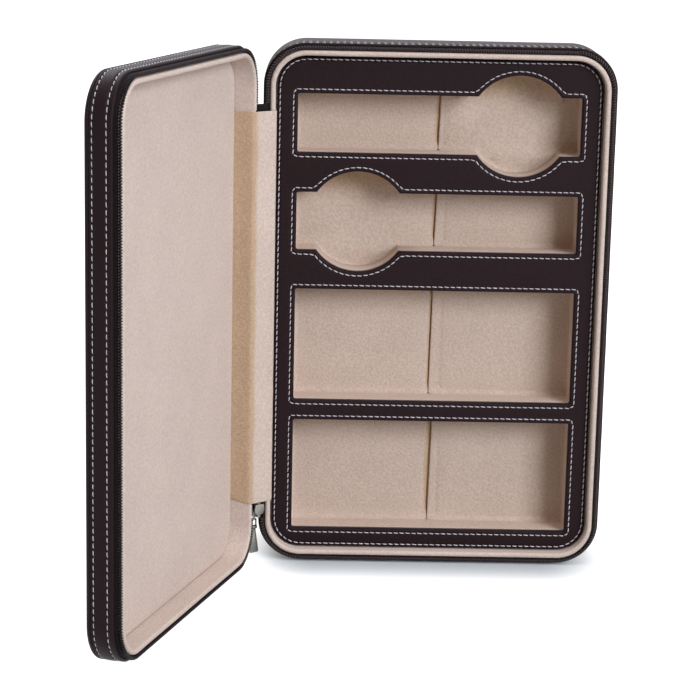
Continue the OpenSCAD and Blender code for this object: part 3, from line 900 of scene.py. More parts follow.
def wall_profile(wall_end):
    """Closed profile of a wall's leather, as out and depth: a half-round folded edge, a face that
    swells a little between two sewn grooves, a turned-in bottom edge and the inner side. The
    grooves are bell curves taken away from the face."""
    first, last = WALL_ROWS
    a = np.radians(np.linspace(180, 0, 11))
    fold = np.stack([2.7 + 0.9 * np.cos(a), 4.8 - 0.9 * np.sin(a)], -1)
    near_rows = [row + np.linspace(-1.6, 1.6, 13) for row in WALL_ROWS]
    d = np.unique(np.concatenate([np.linspace(5.1, wall_end - 0.5, 16), *near_rows]))
    d = d[(d > 5.0) & (d < wall_end - 0.45)]
    face = LEATHER_OUT - groove(d - first, WALL_GROOVE) - groove(d - last, WALL_GROOVE)
    face = face + 0.12 * np.sin(np.pi * ramped((d - first) / (last - first)))
    edge = [[LEATHER_OUT - 0.12, wall_end - 0.22], [LEATHER_OUT - 0.5, wall_end]]
    inner = [[CORE_OUT, wall_end], [CORE_OUT, TAPE_END], [TAPE_OUT, TAPE_END]]
    return np.concatenate([fold, np.stack([face, d], -1), edge, inner])


def wall_part(wall_end):
    """The wall's leather: that profile carried round the outline, with slow hand-glued waves."""
    out, depth = wall_profile(wall_end).T
    arc = ring_arcs(24, 2.2)
    wave = 0.05 * ripple(arc[:, None], depth[None] * 2, 24, 3)
    return tube(carried(arc, out + wave * (out > 3.0), depth), True)


def panel_part(depth):
    """The padded back or cover: a panel with a rounded face edge and a face that swells slowly
    from the edge."""
    r, top, back = PANEL_EDGE_R, depth - 0.25, depth - PANEL_T
    bend = quarter_turn(9)
    profile = [(-6.0, top), (-1.0, top + 0.02)]
    profile += [(LEATHER_OUT - r + r * math.cos(t), top - r + r * math.sin(t)) for t in bend]
    profile += [(LEATHER_OUT - 0.05, back + 0.25), (LEATHER_OUT - 0.4, back), (-6.0, back)]
    rings = rim(outline_loop(ring_arcs(24, 4.0)), profile)
    face = cushion(crown=0.25, reach=22, waves=0.03, size=60, seed=5, calm=8)
    return plate([rings], 9.0, face)


def wall_seams(pitch, radius):
    """Stitches round a wall at each row's depth, laid in their groove."""
    parts = []
    for row in WALL_ROWS:
        arc = even_arcs(0, AROUND, pitch, LEATHER_OUT)
        holes = carried(arc, LEATHER_OUT - 0.40, row)[:, 0]
        normal = np.insert(outline(arc)[1], 1, 0.0, axis=1)
        mid = normal[:-1] + normal[1:]
        mid /= np.linalg.norm(mid, axis=1, keepdims=True)
        parts.append(
            stitch_parts(
                holes[:-1], holes[1:], mid, share=0.76, radius=0.76 * radius, lift=0.32, sag=0.46
            )
        )
    return joined(parts)


class WATCHCASE_OT_shells(bpy.types.Operator):
    """Leather walls, padded back and cover, and the two seams round each wall"""

    bl_idname = "watchcase.shells"
    bl_label = "Leather shells"

    def execute(self, context):
        sizes = context.scene.watch_case_sizes
        for body, place, depth, cover in (
            ("base", to_base, BASE_DEPTH, "base_back_panel"),
            ("lid", to_lid, LID_DEPTH, "lid_cover"),
        ):
            piece(
                f"{body}_wall_skin", wall_part(depth - PANEL_T), place, "leather", body,
                [f"{body}_wall_leather"],
            )
            panel = piece(
                f"{body}_panel_skin", panel_part(depth), place, "leather", body, [cover]
            )
            seams = wall_seams(sizes.wall_pitch / MM, sizes.thread_d / MM / 2)
            piece(f"{body}_wall_seams", seams, place, "thread", body)
        return {"FINISHED"}


# Lip linings ----------------------------------------------------------------------------


def lip_part(floor_d, seed):
    """The suede collar: a profile with a half-round top carried round the outline. Its top is
    lowered under the spine lining, and slow waves show that it is stuffed by hand."""
    a = np.radians(np.linspace(0, 180, 15))
    r = LIP_T / 2
    top = np.stack([-r + r * np.cos(a), LIP_TOP + r * 0.9 * (1 - np.sin(a))], -1)
    inner = np.stack([np.full(9, -LIP_T), np.linspace(2.2, floor_d, 9)], -1)
    outer = [[0.0, floor_d], [0.0, floor_d * 0.5], [0.0, 2.0]]
    side, depth = np.concatenate([top, inner, outer]).T
    arc = ring_arcs(24, 1.6)
    x, z = outline(arc)[0].T
    inside = [ramped(v / 1.2 + 0.5) for v in (z - SPINE_Z[0], SPINE_Z[1] - z)]
    under = eased(inside[0] * inside[1] * (x < 1))
    high = ramped(1 - depth / 3)
    wave = 0.06 * (ripple(arc[:, None], depth[None] * 3, 26, seed) + 1)
    out = side - wave * (side < -1.2)
    return tube(carried(arc, out, depth + wave * high + 0.82 * under[:, None] * high), True)


class WATCHCASE_OT_lips(bpy.types.Operator):
    """Soft suede collars round the rims of both shells"""

    bl_idname = "watchcase.lips"
    bl_label = "Lip linings"

    def execute(self, context):
        for body, place, floor_d, seed in (
            ("base", to_base, BASE_FLOOR, 11), ("lid", to_lid, LID_FLOOR, 12),
        ):
            lip = piece(
                f"{body}_lip_roll", lip_part(floor_d, seed), place, "suede", body,
                [f"{body}_lip_lining"], sharp=70,
            )
        return {"FINISHED"}


# Frame and pockets ----------------------------------------------------------------------

FRAME_ROW, WINDOW_ROW = 4.7, 2.2


def frame_wave(x, z):
    """Slow waves of the frame's leather, which its stitches follow."""
    return 0.05 * ripple(x, z, 42, 21)


def frame_part():
    """The frame's leather as one closed panel: a rounded outer edge and four rolled window edges,
    each with a sewn groove, and a flat web between them with slow waves."""
    bend = quarter_turn(8)
    steps = (6.4, 5.8, 5.4, 5.1, 4.85, 4.7, 4.55, 4.35)
    outer = [(-g, FRAME_D + groove(g - FRAME_ROW, FRAME_GROOVE)) for g in steps]
    outer += [(-FRAME_IN - 1.0 + math.cos(t), FRAME_D + 1.0 - math.sin(t)) for t in bend]
    outer += [(-FRAME_IN, FRAME_BACK - 0.3), (-FRAME_IN - 0.3, FRAME_BACK), (-6.4, FRAME_BACK)]
    steps = (3.4, 3.1, 2.85, 2.6, 2.4, 2.2, 2.0, 1.8, 1.55)
    edge = [(g, FRAME_D + groove(g - WINDOW_ROW, FRAME_GROOVE)) for g in steps]
    edge += [(1.25 - 1.25 * math.cos(t), FRAME_D + 1.25 - 1.25 * math.sin(t)) for t in bend]
    edge += [(0.0, FRAME_BACK - 0.3), (0.3, FRAME_BACK), (3.4, FRAME_BACK)]
    rims = [rim(outline_loop(ring_arcs(20, 3.0)), outer)]
    rims += [rim(lambda g, i=i: window(i, g, max(0.35, 1.0 + g)), edge) for i in range(4)]
    for r in rims:
        r[..., 1] += np.where(r[..., 1] < FRAME_D + 1.0, frame_wave(r[..., 0], r[..., 2]), 0)
    return plate(rims, 5.0, lambda far, at: frame_wave(at[:, 0], at[:, 1]))


def frame_seams(pitch, radius):
    """Stitches along the frame's outer edge and round each window. Round a window the corners of
    the seam are cut off, as the machine turns them."""
    loops = [outline_loop(ring_arcs(24, 3.0))(-FRAME_ROW)]
    loops += [window(i, WINDOW_ROW, 0.8) for i in range(4)]
    parts = []
    for loop in loops:
        x, z = evenly(loop, pitch).T
        holes = np.stack([x, FRAME_D + 0.34 + frame_wave(x, z), z], -1)
        up = np.tile([0.0, -1.0, 0.0], (len(holes) - 1, 1))
        parts.append(
            stitch_parts(
                holes[:-1], holes[1:], up, share=0.84, radius=0.9 * radius, lift=0.36, sag=0.42,
                slant=0.13,
            )
        )
    return joined(parts)


def tray_part(i):
    """A suede-lined tray: the floor curves up into walls that follow the window, over their top
    and down the outside."""
    s, floor, top, back = TRAY_SET, TRAY_FLOOR, FRAME_BACK, TRAY_FLOOR + TRAY_T
    profile = [(s - 1.2, floor), (s - 0.35, floor - 0.1), (s - 0.1, floor - 0.35)]
    profile += [(s, floor - 1.2 - (floor - top - 1.4) * t) for t in np.linspace(0, 1, 7)]
    inner = np.arange(len(profile) + 3) < len(profile)
    profile += [(s + 0.1, top), (s + TRAY_T, top), (s + TRAY_T, back)]
    rings = rim(lambda g: window(i, g), profile)
    x, depth, z = np.moveaxis(rings, -1, 0)
    push = 0.04 * ripple(x + 2 * depth, z, 18, 30 + i)
    rings[..., 1] += np.where(inner[:, None] & (depth > top + 1), push, 0)
    return plate([rings], 7.0)


# each pocket's slit: shift of its foot and of its top, width at its foot, widest point and top
SLITS = (
    (0.35, 1.25, 0.60, 1.55, 0.40),
    (-0.45, 0.75, 0.45, 0.75, 0.50),
    (-1.10, -0.15, 0.30, 0.50, 0.40),
    (0.10, 1.45, 0.35, 1.90, 1.00),
)
# growth and depth below the face: along the pocket's walls, and at the slit on either side
COVE = (
    (-2.6, 0.0), (-1.7, -0.02), (-1.0, -0.08), (-0.5, -0.24), (-0.2, -0.5), (-0.02, -0.85),
    (0.08, -1.25), (0.08, -0.4),
)
SOFT_EDGE = ((-2.6, 0.05), (-1.9, 0.12), (-1.3, 0.26), (-0.85, 0.46), (-0.5, 0.7), (-0.22, 0.98))
FIRM_EDGE = ((-2.6, 0.0), (-1.6, 0.0), (-0.8, 0.0), (-0.35, 0.04), (-0.14, 0.14), (-0.03, 0.34))


def board_part(i, side, crown):
    """A padded board. Its face swells by crown towards its middle and coves up to the pocket's
    walls; at the slit the left board rolls down and the right one has a firm edge. The two meet
    below the face, so the slit is a shallow leaning leaf. To the right of it the cloth lies a
    little lower, up to a soft step."""
    low, tall, mid = WINDOW_Z[i], WINDOW_H[i], LIP_W / 2
    cove = [(g, PAD_D + d) for g, d in COVE]
    cove += [(0.0, TRAY_FLOOR - 0.3), (-0.4, TRAY_FLOOR), (-2.6, TRAY_FLOOR)]
    slit = [(g, PAD_D + d) for g, d in (SOFT_EDGE if side < 0 else FIRM_EDGE)]
    slit += [(0.0, PAD_D + (1.25 if side < 0 else 1.9)), (0.22, PAD_D + 2.05)]
    slit += [(0.22, TRAY_FLOOR - 0.2), (0.1, TRAY_FLOOR), (-2.6, TRAY_FLOOR)]
    rings, at_slit = (rim(lambda g: half_window(i, side, g), edge) for edge in (cove, slit))
    near = eased((np.abs(rings[4:5, :, 0] - mid) - 0.5) / 1.6)[..., None]
    rings = near * rings + (1 - near) * at_slit
    foot, top, foot_w, wide, top_w = SLITS[i]
    t = ramped((rings[..., 2] - low) / tall)
    lean = foot + (top - foot) * t
    gap = foot_w + (top_w - foot_w) * t + (wide - (foot_w + top_w) / 2) * np.sin(np.pi * t) ** 1.5
    ends = ramped((t * tall - 1.8) / 2.5)
    up = (np.arange(len(slit)) < 7)[:, None]
    rings[..., 0] += (1 - near[..., 0]) * (lean + up * (0.25 - gap * ends if side < 0 else 0.0))
    deep = rings[:8, :, 1] - PAD_D
    rings[:8, :, 1] = PAD_D + np.where(deep > 0, deep * (0.25 + 0.75 * ends[:8]), deep)

    def fillet(z):
        return -1.5 * ramped(1 - (z - low) / 3.6) ** 2

    rings[:7, :, 1] += fillet(rings[:7, :, 2])
    soft = cushion(-crown, reach=14, waves=0.05, size=22, seed=40 + 2 * i + side, calm=4)

    def swell(far, at):
        step = 0.28 * (side > 0) * (1 - ramped((at[:, 0] - mid - 5.0) / 0.9)) * ramped(far / 2)
        return soft(far, at) + step + fillet(at[:, 1])

    extra = None
    if side > 0:
        columns = mid + np.array([3.9, 4.7, 5.2, 5.7, 6.4])
        x, z = np.meshgrid(columns, np.arange(low + 2.8, low + tall - 2.8, 1.6))
        extra = np.stack([x.ravel(), z.ravel()], -1)
    return plate([rings], 4.5, swell, extra)


class WATCHCASE_OT_frame(bpy.types.Operator):
    """Leather frame over the pockets, with its five seams"""

    bl_idname = "watchcase.frame"
    bl_label = "Frame"

    def execute(self, context):
        sizes = context.scene.watch_case_sizes
        piece("frame_skin", frame_part(), to_base, "leather", "base", ["insert_frame_leather"])
        seams = frame_seams(sizes.frame_pitch / MM, sizes.thread_d / MM / 2)
        piece("frame_seams", seams, to_base, "thread", "base")
        return {"FINISHED"}


class WATCHCASE_OT_pockets(bpy.types.Operator):
    """Four suede-lined trays, each with two padded boards on its floor"""

    bl_idname = "watchcase.pockets"
    bl_label = "Pockets"

    def execute(self, context):
        crown = context.scene.watch_case_sizes.pad_crown / MM
        for i in range(4):
            # the tray walls are painted a constant darker, more golden tone
            piece(
                f"pocket_{i + 1}_walls", tray_part(i), to_base, "suede", "base",
                [f"pocket_tray_{i + 1}"], sharp=60, lay=0.26,
            )
            for side, word in ((-1, "left"), (1, "right")):
                part = board_part(i, side, crown)
                x, depth, z = part[0].T
                # painted shade: darker and more golden near the top and near the right wall, where
                # the frame's edge shades the board, and deep in the slit, over a constant darker,
                # more golden tone
                lay = 0.24 + 0.4 * np.exp(-(WINDOW_Z[i] + WINDOW_H[i] - z) / 3.5)
                lay = lay + 0.35 * np.exp(-(LIP_W - WINDOW_SIDE - x) / 9)
                lay = lay + (np.abs(x - LIP_W / 2) < 4) * ramped((depth - PAD_D - 0.2) / 0.5)
                board = piece(
                    f"pocket_{i + 1}_board_{word}", part, to_base, "suede", "base",
                    [f"pocket_pad_{i + 1}_{word}"], sharp=60, lay=ramped(lay),
                )
        return {"FINISHED"}


class WATCHCASE_OT_lid_panel(bpy.types.Operator):
    """Padded suede panel on the lid's floor"""

    bl_idname = "watchcase.lid_panel"
    bl_label = "Lid panel"

    def execute(self, context):
        edge, d = -LIP_T + 0.06, LID_PAD_D + 0.1
        profile = [(-10.5, d), (-6.5, d), (-4.6, d + 0.05), (-3.8, d + 0.16), (-3.2, d + 0.36)]
        profile += [(-2.8, d + 0.66), (-2.55, d + 1.0), (edge, d + 1.4)]
        profile += [(edge, LID_FLOOR - 0.3), (edge - 0.4, LID_FLOOR), (-10.5, LID_FLOOR)]
        rings = rim(outline_loop(ring_arcs(24, 3.0)), profile)
        face = cushion(crown=-0.35, reach=30, waves=0.06, size=48, seed=51, calm=6)
        part = plate([rings], 5.0, face)
        panel = piece("lid_panel_pad", part, to_lid, "suede", "lid", ["lid_pad"], sharp=70)
        return {"FINISHED"}


# Zip ------------------------------------------------------------------------------------


def tape_part(start, end):
    """The woven tape under a wall's leather: a thin strip carried along the open zip, with its
    free edge cut back where the slider parks and where the end piece covers it."""
    arc = even_arcs(start, end, 1.5, TAPE_OUT)
    mid, half, edge = (CORE_OUT + TAPE_OUT) / 2, TAPE_T / 2, LIP_TOP + 2.2
    out = np.array([mid - half, mid, mid + half, mid + half, mid - half])
    depth = np.array([edge, edge - 0.25, edge, TAPE_END, TAPE_END])
    x, z = outline(arc)[0].T
    cut = (x < 1) & ((np.abs(z - PARK_Z) < PARK_HALF) | (z > SPINE_Z[1] - 2))
    depth = depth + 1.9 * cut[:, None] * np.array([1, 1, 1, 0, 0])
    return tube(carried(arc, out, depth), False)


def coil_part(start, end, pitch, least):
    """One zip coil and its painted shade: a wire whose centre turns on an ellipse while it runs
    along the outline, as out + a cos and depth + b sin, with a solid cord inside it. The deep half
    of each turn, which the black sewing thread covers, is painted dark as shade between the turns,
    no turn gets less than least, and the cord is given its black colour."""
    per_turn, ring, wire_r, wide, tall, cord = 12, 6, 0.28, 0.69, 0.79, (0.38, 0.46)
    arc = even_arcs(start, end, 1.0, COIL_OUT)
    k = np.arange(int((arc[-1] - arc[0]) / pitch) * per_turn + 1)
    arc = start + (end - start) * k / k[-1]
    theta = 2 * np.pi * k / per_turn
    point, normal, direction = outline(arc)
    x, z = (point + (COIL_OUT + wide * np.cos(theta))[:, None] * normal).T
    centre = np.stack([x, COIL_D + tall * np.sin(theta), z], -1)
    tangent = np.gradient(centre, axis=0)
    tangent /= np.linalg.norm(tangent, axis=1, keepdims=True)
    along = np.insert(direction, 1, 0.0, axis=1)
    first = along - (along * tangent).sum(1, keepdims=True) * tangent
    first /= np.linalg.norm(first, axis=1, keepdims=True)
    second = np.cross(tangent, first)
    a = 2 * np.pi * np.arange(ring) / ring
    wire = centre[:, None] + wire_r * (
        np.cos(a)[None, :, None] * first[:, None] + np.sin(a)[None, :, None] * second[:, None]
    )
    a = 2 * np.pi * np.arange(8) / 8
    core = carried(
        even_arcs(start, end, 3.0, COIL_OUT),
        COIL_OUT + cord[0] * np.cos(a), COIL_D + cord[1] * np.sin(a),
    )
    # painted shade: the deep half of each turn, also covered by black thread, is painted dark
    thread_and_painted_shade = np.repeat(ramped(0.3 + 1.4 * np.sin(theta)), ring)
    lay = np.concatenate([thread_and_painted_shade, np.ones(core.shape[0] * core.shape[1])])
    return joined([tube(wire, False), tube(core, False)]), np.maximum(lay, least)


def rounded(circles, grow, count=40):
    """Closed loop round circles (a, b, radius), as a belt round pulleys: for each direction the
    point of the circle that reaches furthest, set out by grow."""
    turn = np.linspace(0, 2 * np.pi, count, endpoint=False)
    way = np.stack([np.cos(turn), np.sin(turn)], -1)
    wheel = np.array(circles, float)
    best = (way @ wheel[:, :2].T + wheel[:, 2]).argmax(1)
    return wheel[best, :2] + (wheel[best, 2:] + grow) * way


def twins(a, b, radius):
    """Two equal circles, left and right of the middle."""
    return [(-a, b, radius), (a, b, radius)]


def cast_slab(circles, near, far, soft=0.16, hole=None, border=0.0):
    """A cast plate between two depths with a belt-shaped outline and quarter-round edges. hole is
    a circle that goes through it, and border the width of a rim round its sunk face."""
    edge = [(soft * math.cos(a), soft * (1 - math.sin(a))) for a in quarter_turn(5)]
    outer = [(g - soft, near + d) for g, d in edge] + [(g - soft, far - d) for g, d in edge[::-1]]
    inner = [(-g, depth) for g, depth in outer]
    if border:
        sunk = [(-border - 0.15, near + 0.22), (-border, near + 0.16), (-border + 0.1, near)]
        outer = sunk + outer
    rims = [rim(lambda g: rounded(circles, g), outer)]
    if hole:
        rims.append(rim(lambda g: rounded([hole], g, 24), inner))
    return plate(rims, 9.0)


def across(part):
    """A part drawn in the plane of y and z with its depth along x, in the middle frame."""
    points, faces = part
    return points[:, [1, 0, 2]], faces


def slider_part():
    """The slider: an inner plate with a half-round end, a tapered outer plate, the post between
    them, and two ears with the pin that holds the pull."""
    foot, top, pin_z = SLIDER_FOOT, SLIDER_FOOT + 7.5, LINK_PIN_Z
    inner = [*twins(2.2, top - 0.5, 0.4), (0, top - 2.9, 3.0)]
    outer = twins(2.3, top - 0.6, 0.5) + twins(1.5, foot + 0.7, 0.7)
    post = twins(0.6, foot + 0.5, 0.3) + twins(0.6, foot + 3.6, 0.3)
    parts = [
        across(cast_slab(inner, 2.6, 3.5, 0.22)),
        across(cast_slab(outer, -0.5, 0.4, 0.2)),
        across(cast_slab(post, 0.2, 2.8, 0.1)),
    ]
    ear = [(PULL_R, pin_z, EYE_R), (-0.3, pin_z + 0.5, 0.4), (-0.3, pin_z - 0.5, 0.4)]
    for side in (-1, 1):
        middle = side * (FORK_W - EAR_T) / 2
        parts.append(cast_slab(ear, middle - EAR_T / 2, middle + EAR_T / 2, 0.12))
    half = FORK_W / 2 - 0.2
    parts.append(cast_slab([(PULL_R, pin_z, PIN_R)], -half, half, 0.05))
    return joined(parts)


def tab_part():
    """The pull tab: an eye on the link's pin, and a plate that widens downwards, with a raised
    border round a sunk face on both broad sides."""
    pin_z = LINK_PIN_Z - LINK_LEN
    eye = cast_slab(
        [(PULL_R, pin_z, EYE_R), (PULL_R, pin_z - 2.0, 0.45)], -0.75, 0.75, 0.14,
        hole=(PULL_R, pin_z, PIN_R + 0.08),
    )
    flare = [(0, pin_z - 2.1, 0.9), *twins(1.9, pin_z - TAB_LEN + 0.8, 0.8)]
    plates = [
        cast_slab(flare, PULL_R + s * 0.5, PULL_R + s * 0.02, 0.16, border=0.42) for s in (-1, 1)
    ]
    return joined([eye, *[across(p) for p in plates]])


def refined(name, node, bevel, kind, body):
    """A copy of a cast node with its triangles merged and its edges rounded."""
    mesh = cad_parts[node].data.copy()
    mesh.name = name
    work = bmesh.new()
    work.from_mesh(mesh)
    bmesh.ops.remove_doubles(work, verts=work.verts, dist=1e-6)
    bmesh.ops.dissolve_limit(
        work, angle_limit=math.radians(1), verts=work.verts, edges=work.edges
    )
    bmesh.ops.recalc_face_normals(work, faces=work.faces)
    work.to_mesh(mesh)
    work.free()
    obj = shown(name, mesh, kind, body, [node], 30)
    soften = obj.modifiers.new("Rounded edges", "BEVEL")
    soften.width, soften.segments, soften.limit_method = bevel * MM, 3, "ANGLE"
    soften.angle_limit, soften.harden_normals = math.radians(40), False


class WATCHCASE_OT_zip(bpy.types.Operator):
    """Zip tapes, coils, slider and pull"""

    bl_idname = "watchcase.zip"
    bl_label = "Zip"

    def execute(self, context):
        pitch = context.scene.watch_case_sizes.coil_pitch / MM
        # flat, a tape is its run along the outline with an allowance at the four corners
        start, end = (spine_arc(z) for z in TAPE_Z)
        coil_start, coil_end = spine_arc(SLIDER_FOOT - 0.4), spine_arc(COIL_TOP)
        # painted shade: on the lid, where the tape's edge shades the coil, every turn is painted at
        # least this dark
        for body, place, least in (("base", to_base, 0.0), ("lid", to_lid, 0.72)):
            tape = piece(
                f"{body}_zip_tape", tape_part(start, end), place, "tape", body,
                [f"zip_tape_{body}"],
            )
            coil, lay = coil_part(coil_start, coil_end, pitch, least)
            piece(
                f"{body}_zip_coil", coil, place, "coil", body, [f"zip_coil_{body}"],
                sharp=80, lay=lay,
            )
        piece(
            "slider_casting", slider_part(), to_middle, "metal", "slider", ["zip_slider"],
            sharp=35,
        )
        refined("pull_link_casting", "zip_pull_link", 0.10, "metal", "pull_link")
        piece(
            "pull_tab_casting", tab_part(), to_middle, "metal", "pull_tab", ["zip_pull_tab"],
            sharp=35,
        )
        return {"FINISHED"}


# Spine ----------------------------------------------------------------------------------

ARC_R = 2 * HINGE_OUT * math.tan(HALF_OPEN) / (2 * math.tan(HALF_OPEN) - LID_OPEN)
ARC_X = (HINGE_OUT - ARC_R) / math.cos(HALF_OPEN)


def bent_path(depth_in, end_d):
    """Middle line of a spine layer at depth_in below the outer leather face: an arc about the
    bend's centre, met by straights along both walls down to end_d."""
    a = np.linspace(-HALF_OPEN, HALF_OPEN, 25)
    arc = np.stack([ARC_X + (ARC_R + depth_in) * np.cos(a), (ARC_R + depth_in) * np.sin(a)], -1)
    ends = np.array([middle_of(HINGE_OUT + depth_in, d) for d in np.linspace(end_d, 3.6, 5)])
    return np.concatenate([ends * [1, -1], arc, ends[::-1]])


def lining_path():
    """Middle line of the spine's suede: from the lid's floor over both lips to the frame."""
    u = AXIS_OUT + LIP_T + 0.35
    over = [middle_of(*at) for at in ((6.1, 0.42), (7.15, 0.75), (u + 0.02, 2.0), (u, 5.0))]
    lid_side = np.array([*over, middle_of(u + 0.02, 8.0), middle_of(u + 0.25, 11.4)])
    base_side = np.array([*over, middle_of(u, FRAME_BACK - 0.2)])
    middle = [[2.62, -2.6], [2.35, 0.0], [2.62, 2.6]]
    return smooth_path(np.concatenate([(lid_side * [1, -1])[::-1], middle, base_side]), 90)


def strip_part(path, thick, z0, z1, rows, waves=0.0, size=20, seed=1, hem=0.0, bow=0.0):
    """A strip of cloth or leather between two heights: a path in the middle frame shifted to both
    sides along its normal by half the thickness, with rounded long edges and gentle waves. hem
    draws its two ends in, and bow lets the lower one sag towards both sides."""
    run = np.gradient(path, axis=0)
    run /= np.linalg.norm(run, axis=1, keepdims=True)
    normal = np.stack([-run[:, 1], run[:, 0]], -1)
    z = np.linspace(z0, z1, rows)[:, None]
    along = running(path)
    fade = ramped(np.minimum(along, along[-1] - along) / (0.25 * along[-1]))
    wave = waves * ripple(along * 1.6, z, size, seed) * fade
    wave = wave - hem * np.exp(-((np.minimum(z - z0, z1 - z) / 2.2) ** 2)) * fade
    half = np.full((rows, len(path)), thick / 2)
    half[[0, -1]] *= 0.55
    front = path + (wave + half)[..., None] * normal
    back = path + (wave - half)[..., None] * normal
    ring = np.concatenate([front, back[:, ::-1]], 1)
    lean = (ring[..., 1] / np.abs(path[:, 1]).max()) ** 2
    height = z + bow * lean * np.exp(-(z - z0) / 10)
    return tube(np.concatenate([ring, height[..., None]], -1), False)


def bend(obj, half_span, x):
    """Bakes a spine piece's place into its mesh. half_span is not used."""
    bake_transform(obj)


class WATCHCASE_OT_spine(bpy.types.Operator):
    """Leather spine, its inner tape, the suede lining over it and the zip's end piece"""

    bl_idname = "watchcase.spine"
    bl_label = "Spine"

    def execute(self, context):
        z0, z1 = SPINE_Z
        path = bent_path(LEATHER_T / 2, 4.1)
        cloth = strip_part(path, LEATHER_T, z0, z1, rows=90, waves=0.05, size=14, seed=61)
        skin = piece("spine_skin", cloth, to_middle, "leather", None, ["spine_leather"])
        bend(skin, 3.2, 0.3)

        path = bent_path(LEATHER_T + TAPE_T / 2, 14.0)
        cloth = strip_part(path, TAPE_T - 0.1, z0, z1, rows=60)
        tape = piece("spine_inner_tape", cloth, to_middle, "tape", None, ["spine_tape"])
        bend(tape, 3.2, 1.5)

        path = lining_path()
        cloth = strip_part(path, LINING_T - 0.1, z0, z1, rows=150, waves=0.07, size=17, seed=71,
                           hem=0.12, bow=2.6)
        y, z = cloth[0][:, 1:].T
        # painted shade: darker and more golden on the lid's side, which faces away from the key
        # lamp, and a little on the base's side
        lay = 0.12 + 0.88 * ramped((-y - 3.0 + 0.5 * ripple(y, z, 30, 73)) / 2.4)
        lining = piece("spine_suede", cloth, to_middle, "suede", None, ["spine_lining"],
                       sharp=70, lay=lay)
        bend(lining, 4.3, 2.4)

        path = bent_path(LEATHER_T + TAPE_T / 2 - 0.25, 3.7)
        cloth = strip_part(path, 0.9, z1 + 0.1, z1 + 3.6, rows=8, waves=0.04, size=6, seed=81)
        end = piece("zip_end_fold", cloth, to_middle, "tape", None, ["zip_end_piece"])
        bend(end, 3.2, 1.2)
        return {"FINISHED"}


class WATCHCASE_OT_inner_boards(bpy.types.Operator):
    """Finish of the boards and foam inside the case, which keep their CAD shape"""

    bl_idname = "watchcase.inner_boards"
    bl_label = "Boards and foam"

    def execute(self, context):
        for kind, nodes in (
            ("board", ("base_core_shell", "lid_core_shell", "insert_frame_board")),
            ("foam", ("base_foam_bed", "insert_carrier")),
        ):
            for name in nodes:
                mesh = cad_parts[name].data
                mesh.materials.clear()
                mesh.materials.append(finish_of(kind))
        return {"FINISHED"}


# Stage ----------------------------------------------------------------------------------

SWEEP_HALF = 9.0
# the base's foot on the floor and the reach of its contact shadow, which is partly real and partly
# painted where the sweep's glow is left out
FOOT_MIDDLE = (-1 * MM, 2 * MM)
FOOT_HALF = ((LIP_W / 2 - 28) * MM, 15.5 * MM)
FOOT_FADE = (4, 52)
LAMP_AIM = (-0.03, -0.04, 0.13)
# each lamp's place, size, power and colour
LAMPS = {
    "key": ((1.5, -1.9, 1.15), 1.2, 58, (0.92, 1.0, 1.09)),
    "overhead": ((0.2, -0.6, 2.1), 1.3, 17, (0.95, 1.0, 1.06)),
    "back": ((-0.7, 1.7, 2.2), 1.3, 30, (0.95, 1.0, 1.06)),
}
# the camera's place, its focal length and its tilt, turn and roll, from the fit of the photograph
EYE, LENS = (-0.062634, -1.134715, 0.365148), 115.43
TILT, TURN, ROLL = 0.2217, 0.0218, 0.0178


def area_lamp(name, place, size, power, colour):
    """A soft square lamp aimed at the case."""
    light = bpy.data.lights.new(name, "AREA")
    light.shape, light.size, light.energy, light.color = "SQUARE", size, power, colour
    lamp = bpy.data.objects.new(name, light)
    lamp.location = place
    aim = Vector(LAMP_AIM) - Vector(place)
    lamp.rotation_euler = aim.to_track_quat("-Z", "Y").to_euler()
    bpy.context.scene.collection.objects.link(lamp)


def studio_world():
    """A dim warm room that lights the case and is plain white to the eye, also in gloss."""
    world = bpy.data.worlds.new("studio")
    world.use_nodes = True
    tree = world.node_tree
    tree.nodes.clear()
    room = add(tree, "Background", {"Color": linear("#ffdfc0"), "Strength": 0.22})
    white = add(tree, "Background", {"Color": (1, 1, 1, 1), "Strength": 1.0})
    mix = add(tree, "MixShader", {0: seen_rays(tree), 1: room.outputs[0], 2: white.outputs[0]})
    out = add(tree, "OutputWorld", {"Surface": mix.outputs[0]})
    out.is_active_output = True
    return world


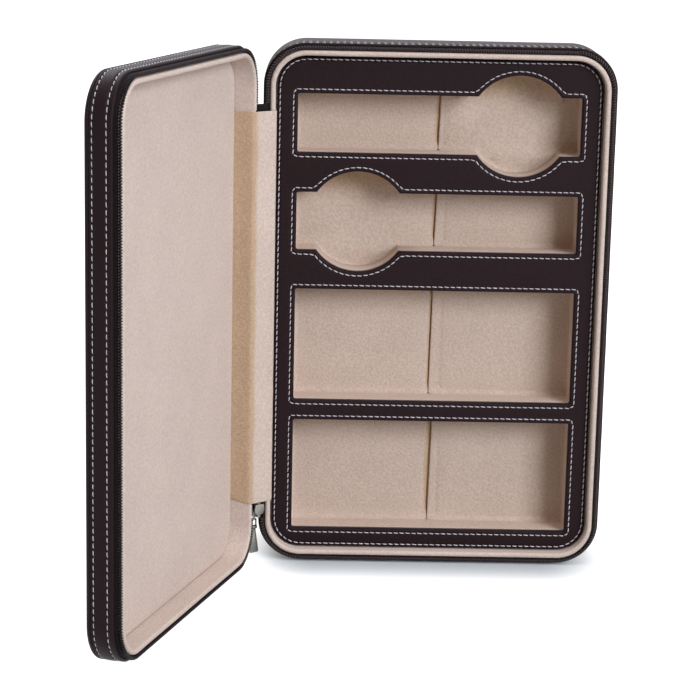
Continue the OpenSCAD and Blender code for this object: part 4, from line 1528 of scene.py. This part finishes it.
class WATCHCASE_OT_stage(bpy.types.Operator):
    """White sweep, soft studio light and the camera"""

    bl_idname = "watchcase.stage"
    bl_label = "Stage"

    def execute(self, context):
        scene = context.scene
        scene.view_settings.view_transform = "Standard"
        scene.world = studio_world()
        mesh = bpy.data.meshes.new("sweep")
        s = SWEEP_HALF
        mesh.from_pydata([(-s, -s, 0), (s, -s, 0), (s, s, 0), (-s, s, 0)], [], [(0, 1, 2, 3)])
        mesh.materials.append(white_sweep("white_paper_sweep", FOOT_MIDDLE, FOOT_HALF, FOOT_FADE))
        floor = bpy.data.objects.new("sweep", mesh)
        scene.collection.objects.link(floor)
        for name, lamp in LAMPS.items():
            area_lamp(name, *lamp)

        camera = bpy.data.cameras.new("photo_view")
        camera.sensor_width, camera.lens, camera.clip_end = 36.0, LENS, 50
        view = bpy.data.objects.new("photo_view", camera)
        spin = (
            Matrix.Rotation(TURN, 3, "Y") @ Matrix.Rotation(TILT, 3, "X")
            @ Matrix.Rotation(ROLL, 3, "Z")
        )
        right, ahead, up = spin
        facing = Matrix((right, up, -ahead)).transposed()
        view.matrix_world = Matrix.LocRotScale(Vector(EYE), facing.to_quaternion(), None)
        scene.collection.objects.link(view)
        scene.camera = view
        return {"FINISHED"}


# Panel and run --------------------------------------------------------------------------

STEPS = (
    WATCHCASE_OT_shells, WATCHCASE_OT_lips, WATCHCASE_OT_frame, WATCHCASE_OT_pockets,
    WATCHCASE_OT_lid_panel, WATCHCASE_OT_zip, WATCHCASE_OT_spine, WATCHCASE_OT_inner_boards,
    WATCHCASE_OT_stage,
)


class WATCHCASE_PT_panel(bpy.types.Panel):
    """Sizes, colours and build steps of the watch case"""

    bl_idname = "WATCHCASE_PT_panel"
    bl_label = "Watch travel case"
    bl_space_type = "VIEW_3D"
    bl_region_type = "UI"
    bl_category = "Watch case"

    def draw(self, context):
        for group in (context.scene.watch_case_sizes, context.scene.watch_case_colours):
            box = self.layout.box()
            for name in group.bl_rna.properties.keys():
                if name not in ("rna_type", "name"):
                    box.prop(group, name)
        for step in STEPS:
            self.layout.operator(step.bl_idname)


CLASSES = (WatchCaseSizes, WatchCaseColours, *STEPS, WATCHCASE_PT_panel)


def register():
    for cls in CLASSES:
        bpy.utils.register_class(cls)
    bpy.types.Scene.watch_case_sizes = bpy.props.PointerProperty(type=WatchCaseSizes)
    bpy.types.Scene.watch_case_colours = bpy.props.PointerProperty(type=WatchCaseColours)


def unregister():
    del bpy.types.Scene.watch_case_colours
    del bpy.types.Scene.watch_case_sizes
    for cls in reversed(CLASSES):
        bpy.utils.unregister_class(cls)


def main():
    register()
    for step in STEPS:
        group, name = step.bl_idname.split(".")
        getattr(getattr(bpy.ops, group), name)()
    bpy.context.view_layer.update()


if __name__ == "__main__":
    main()
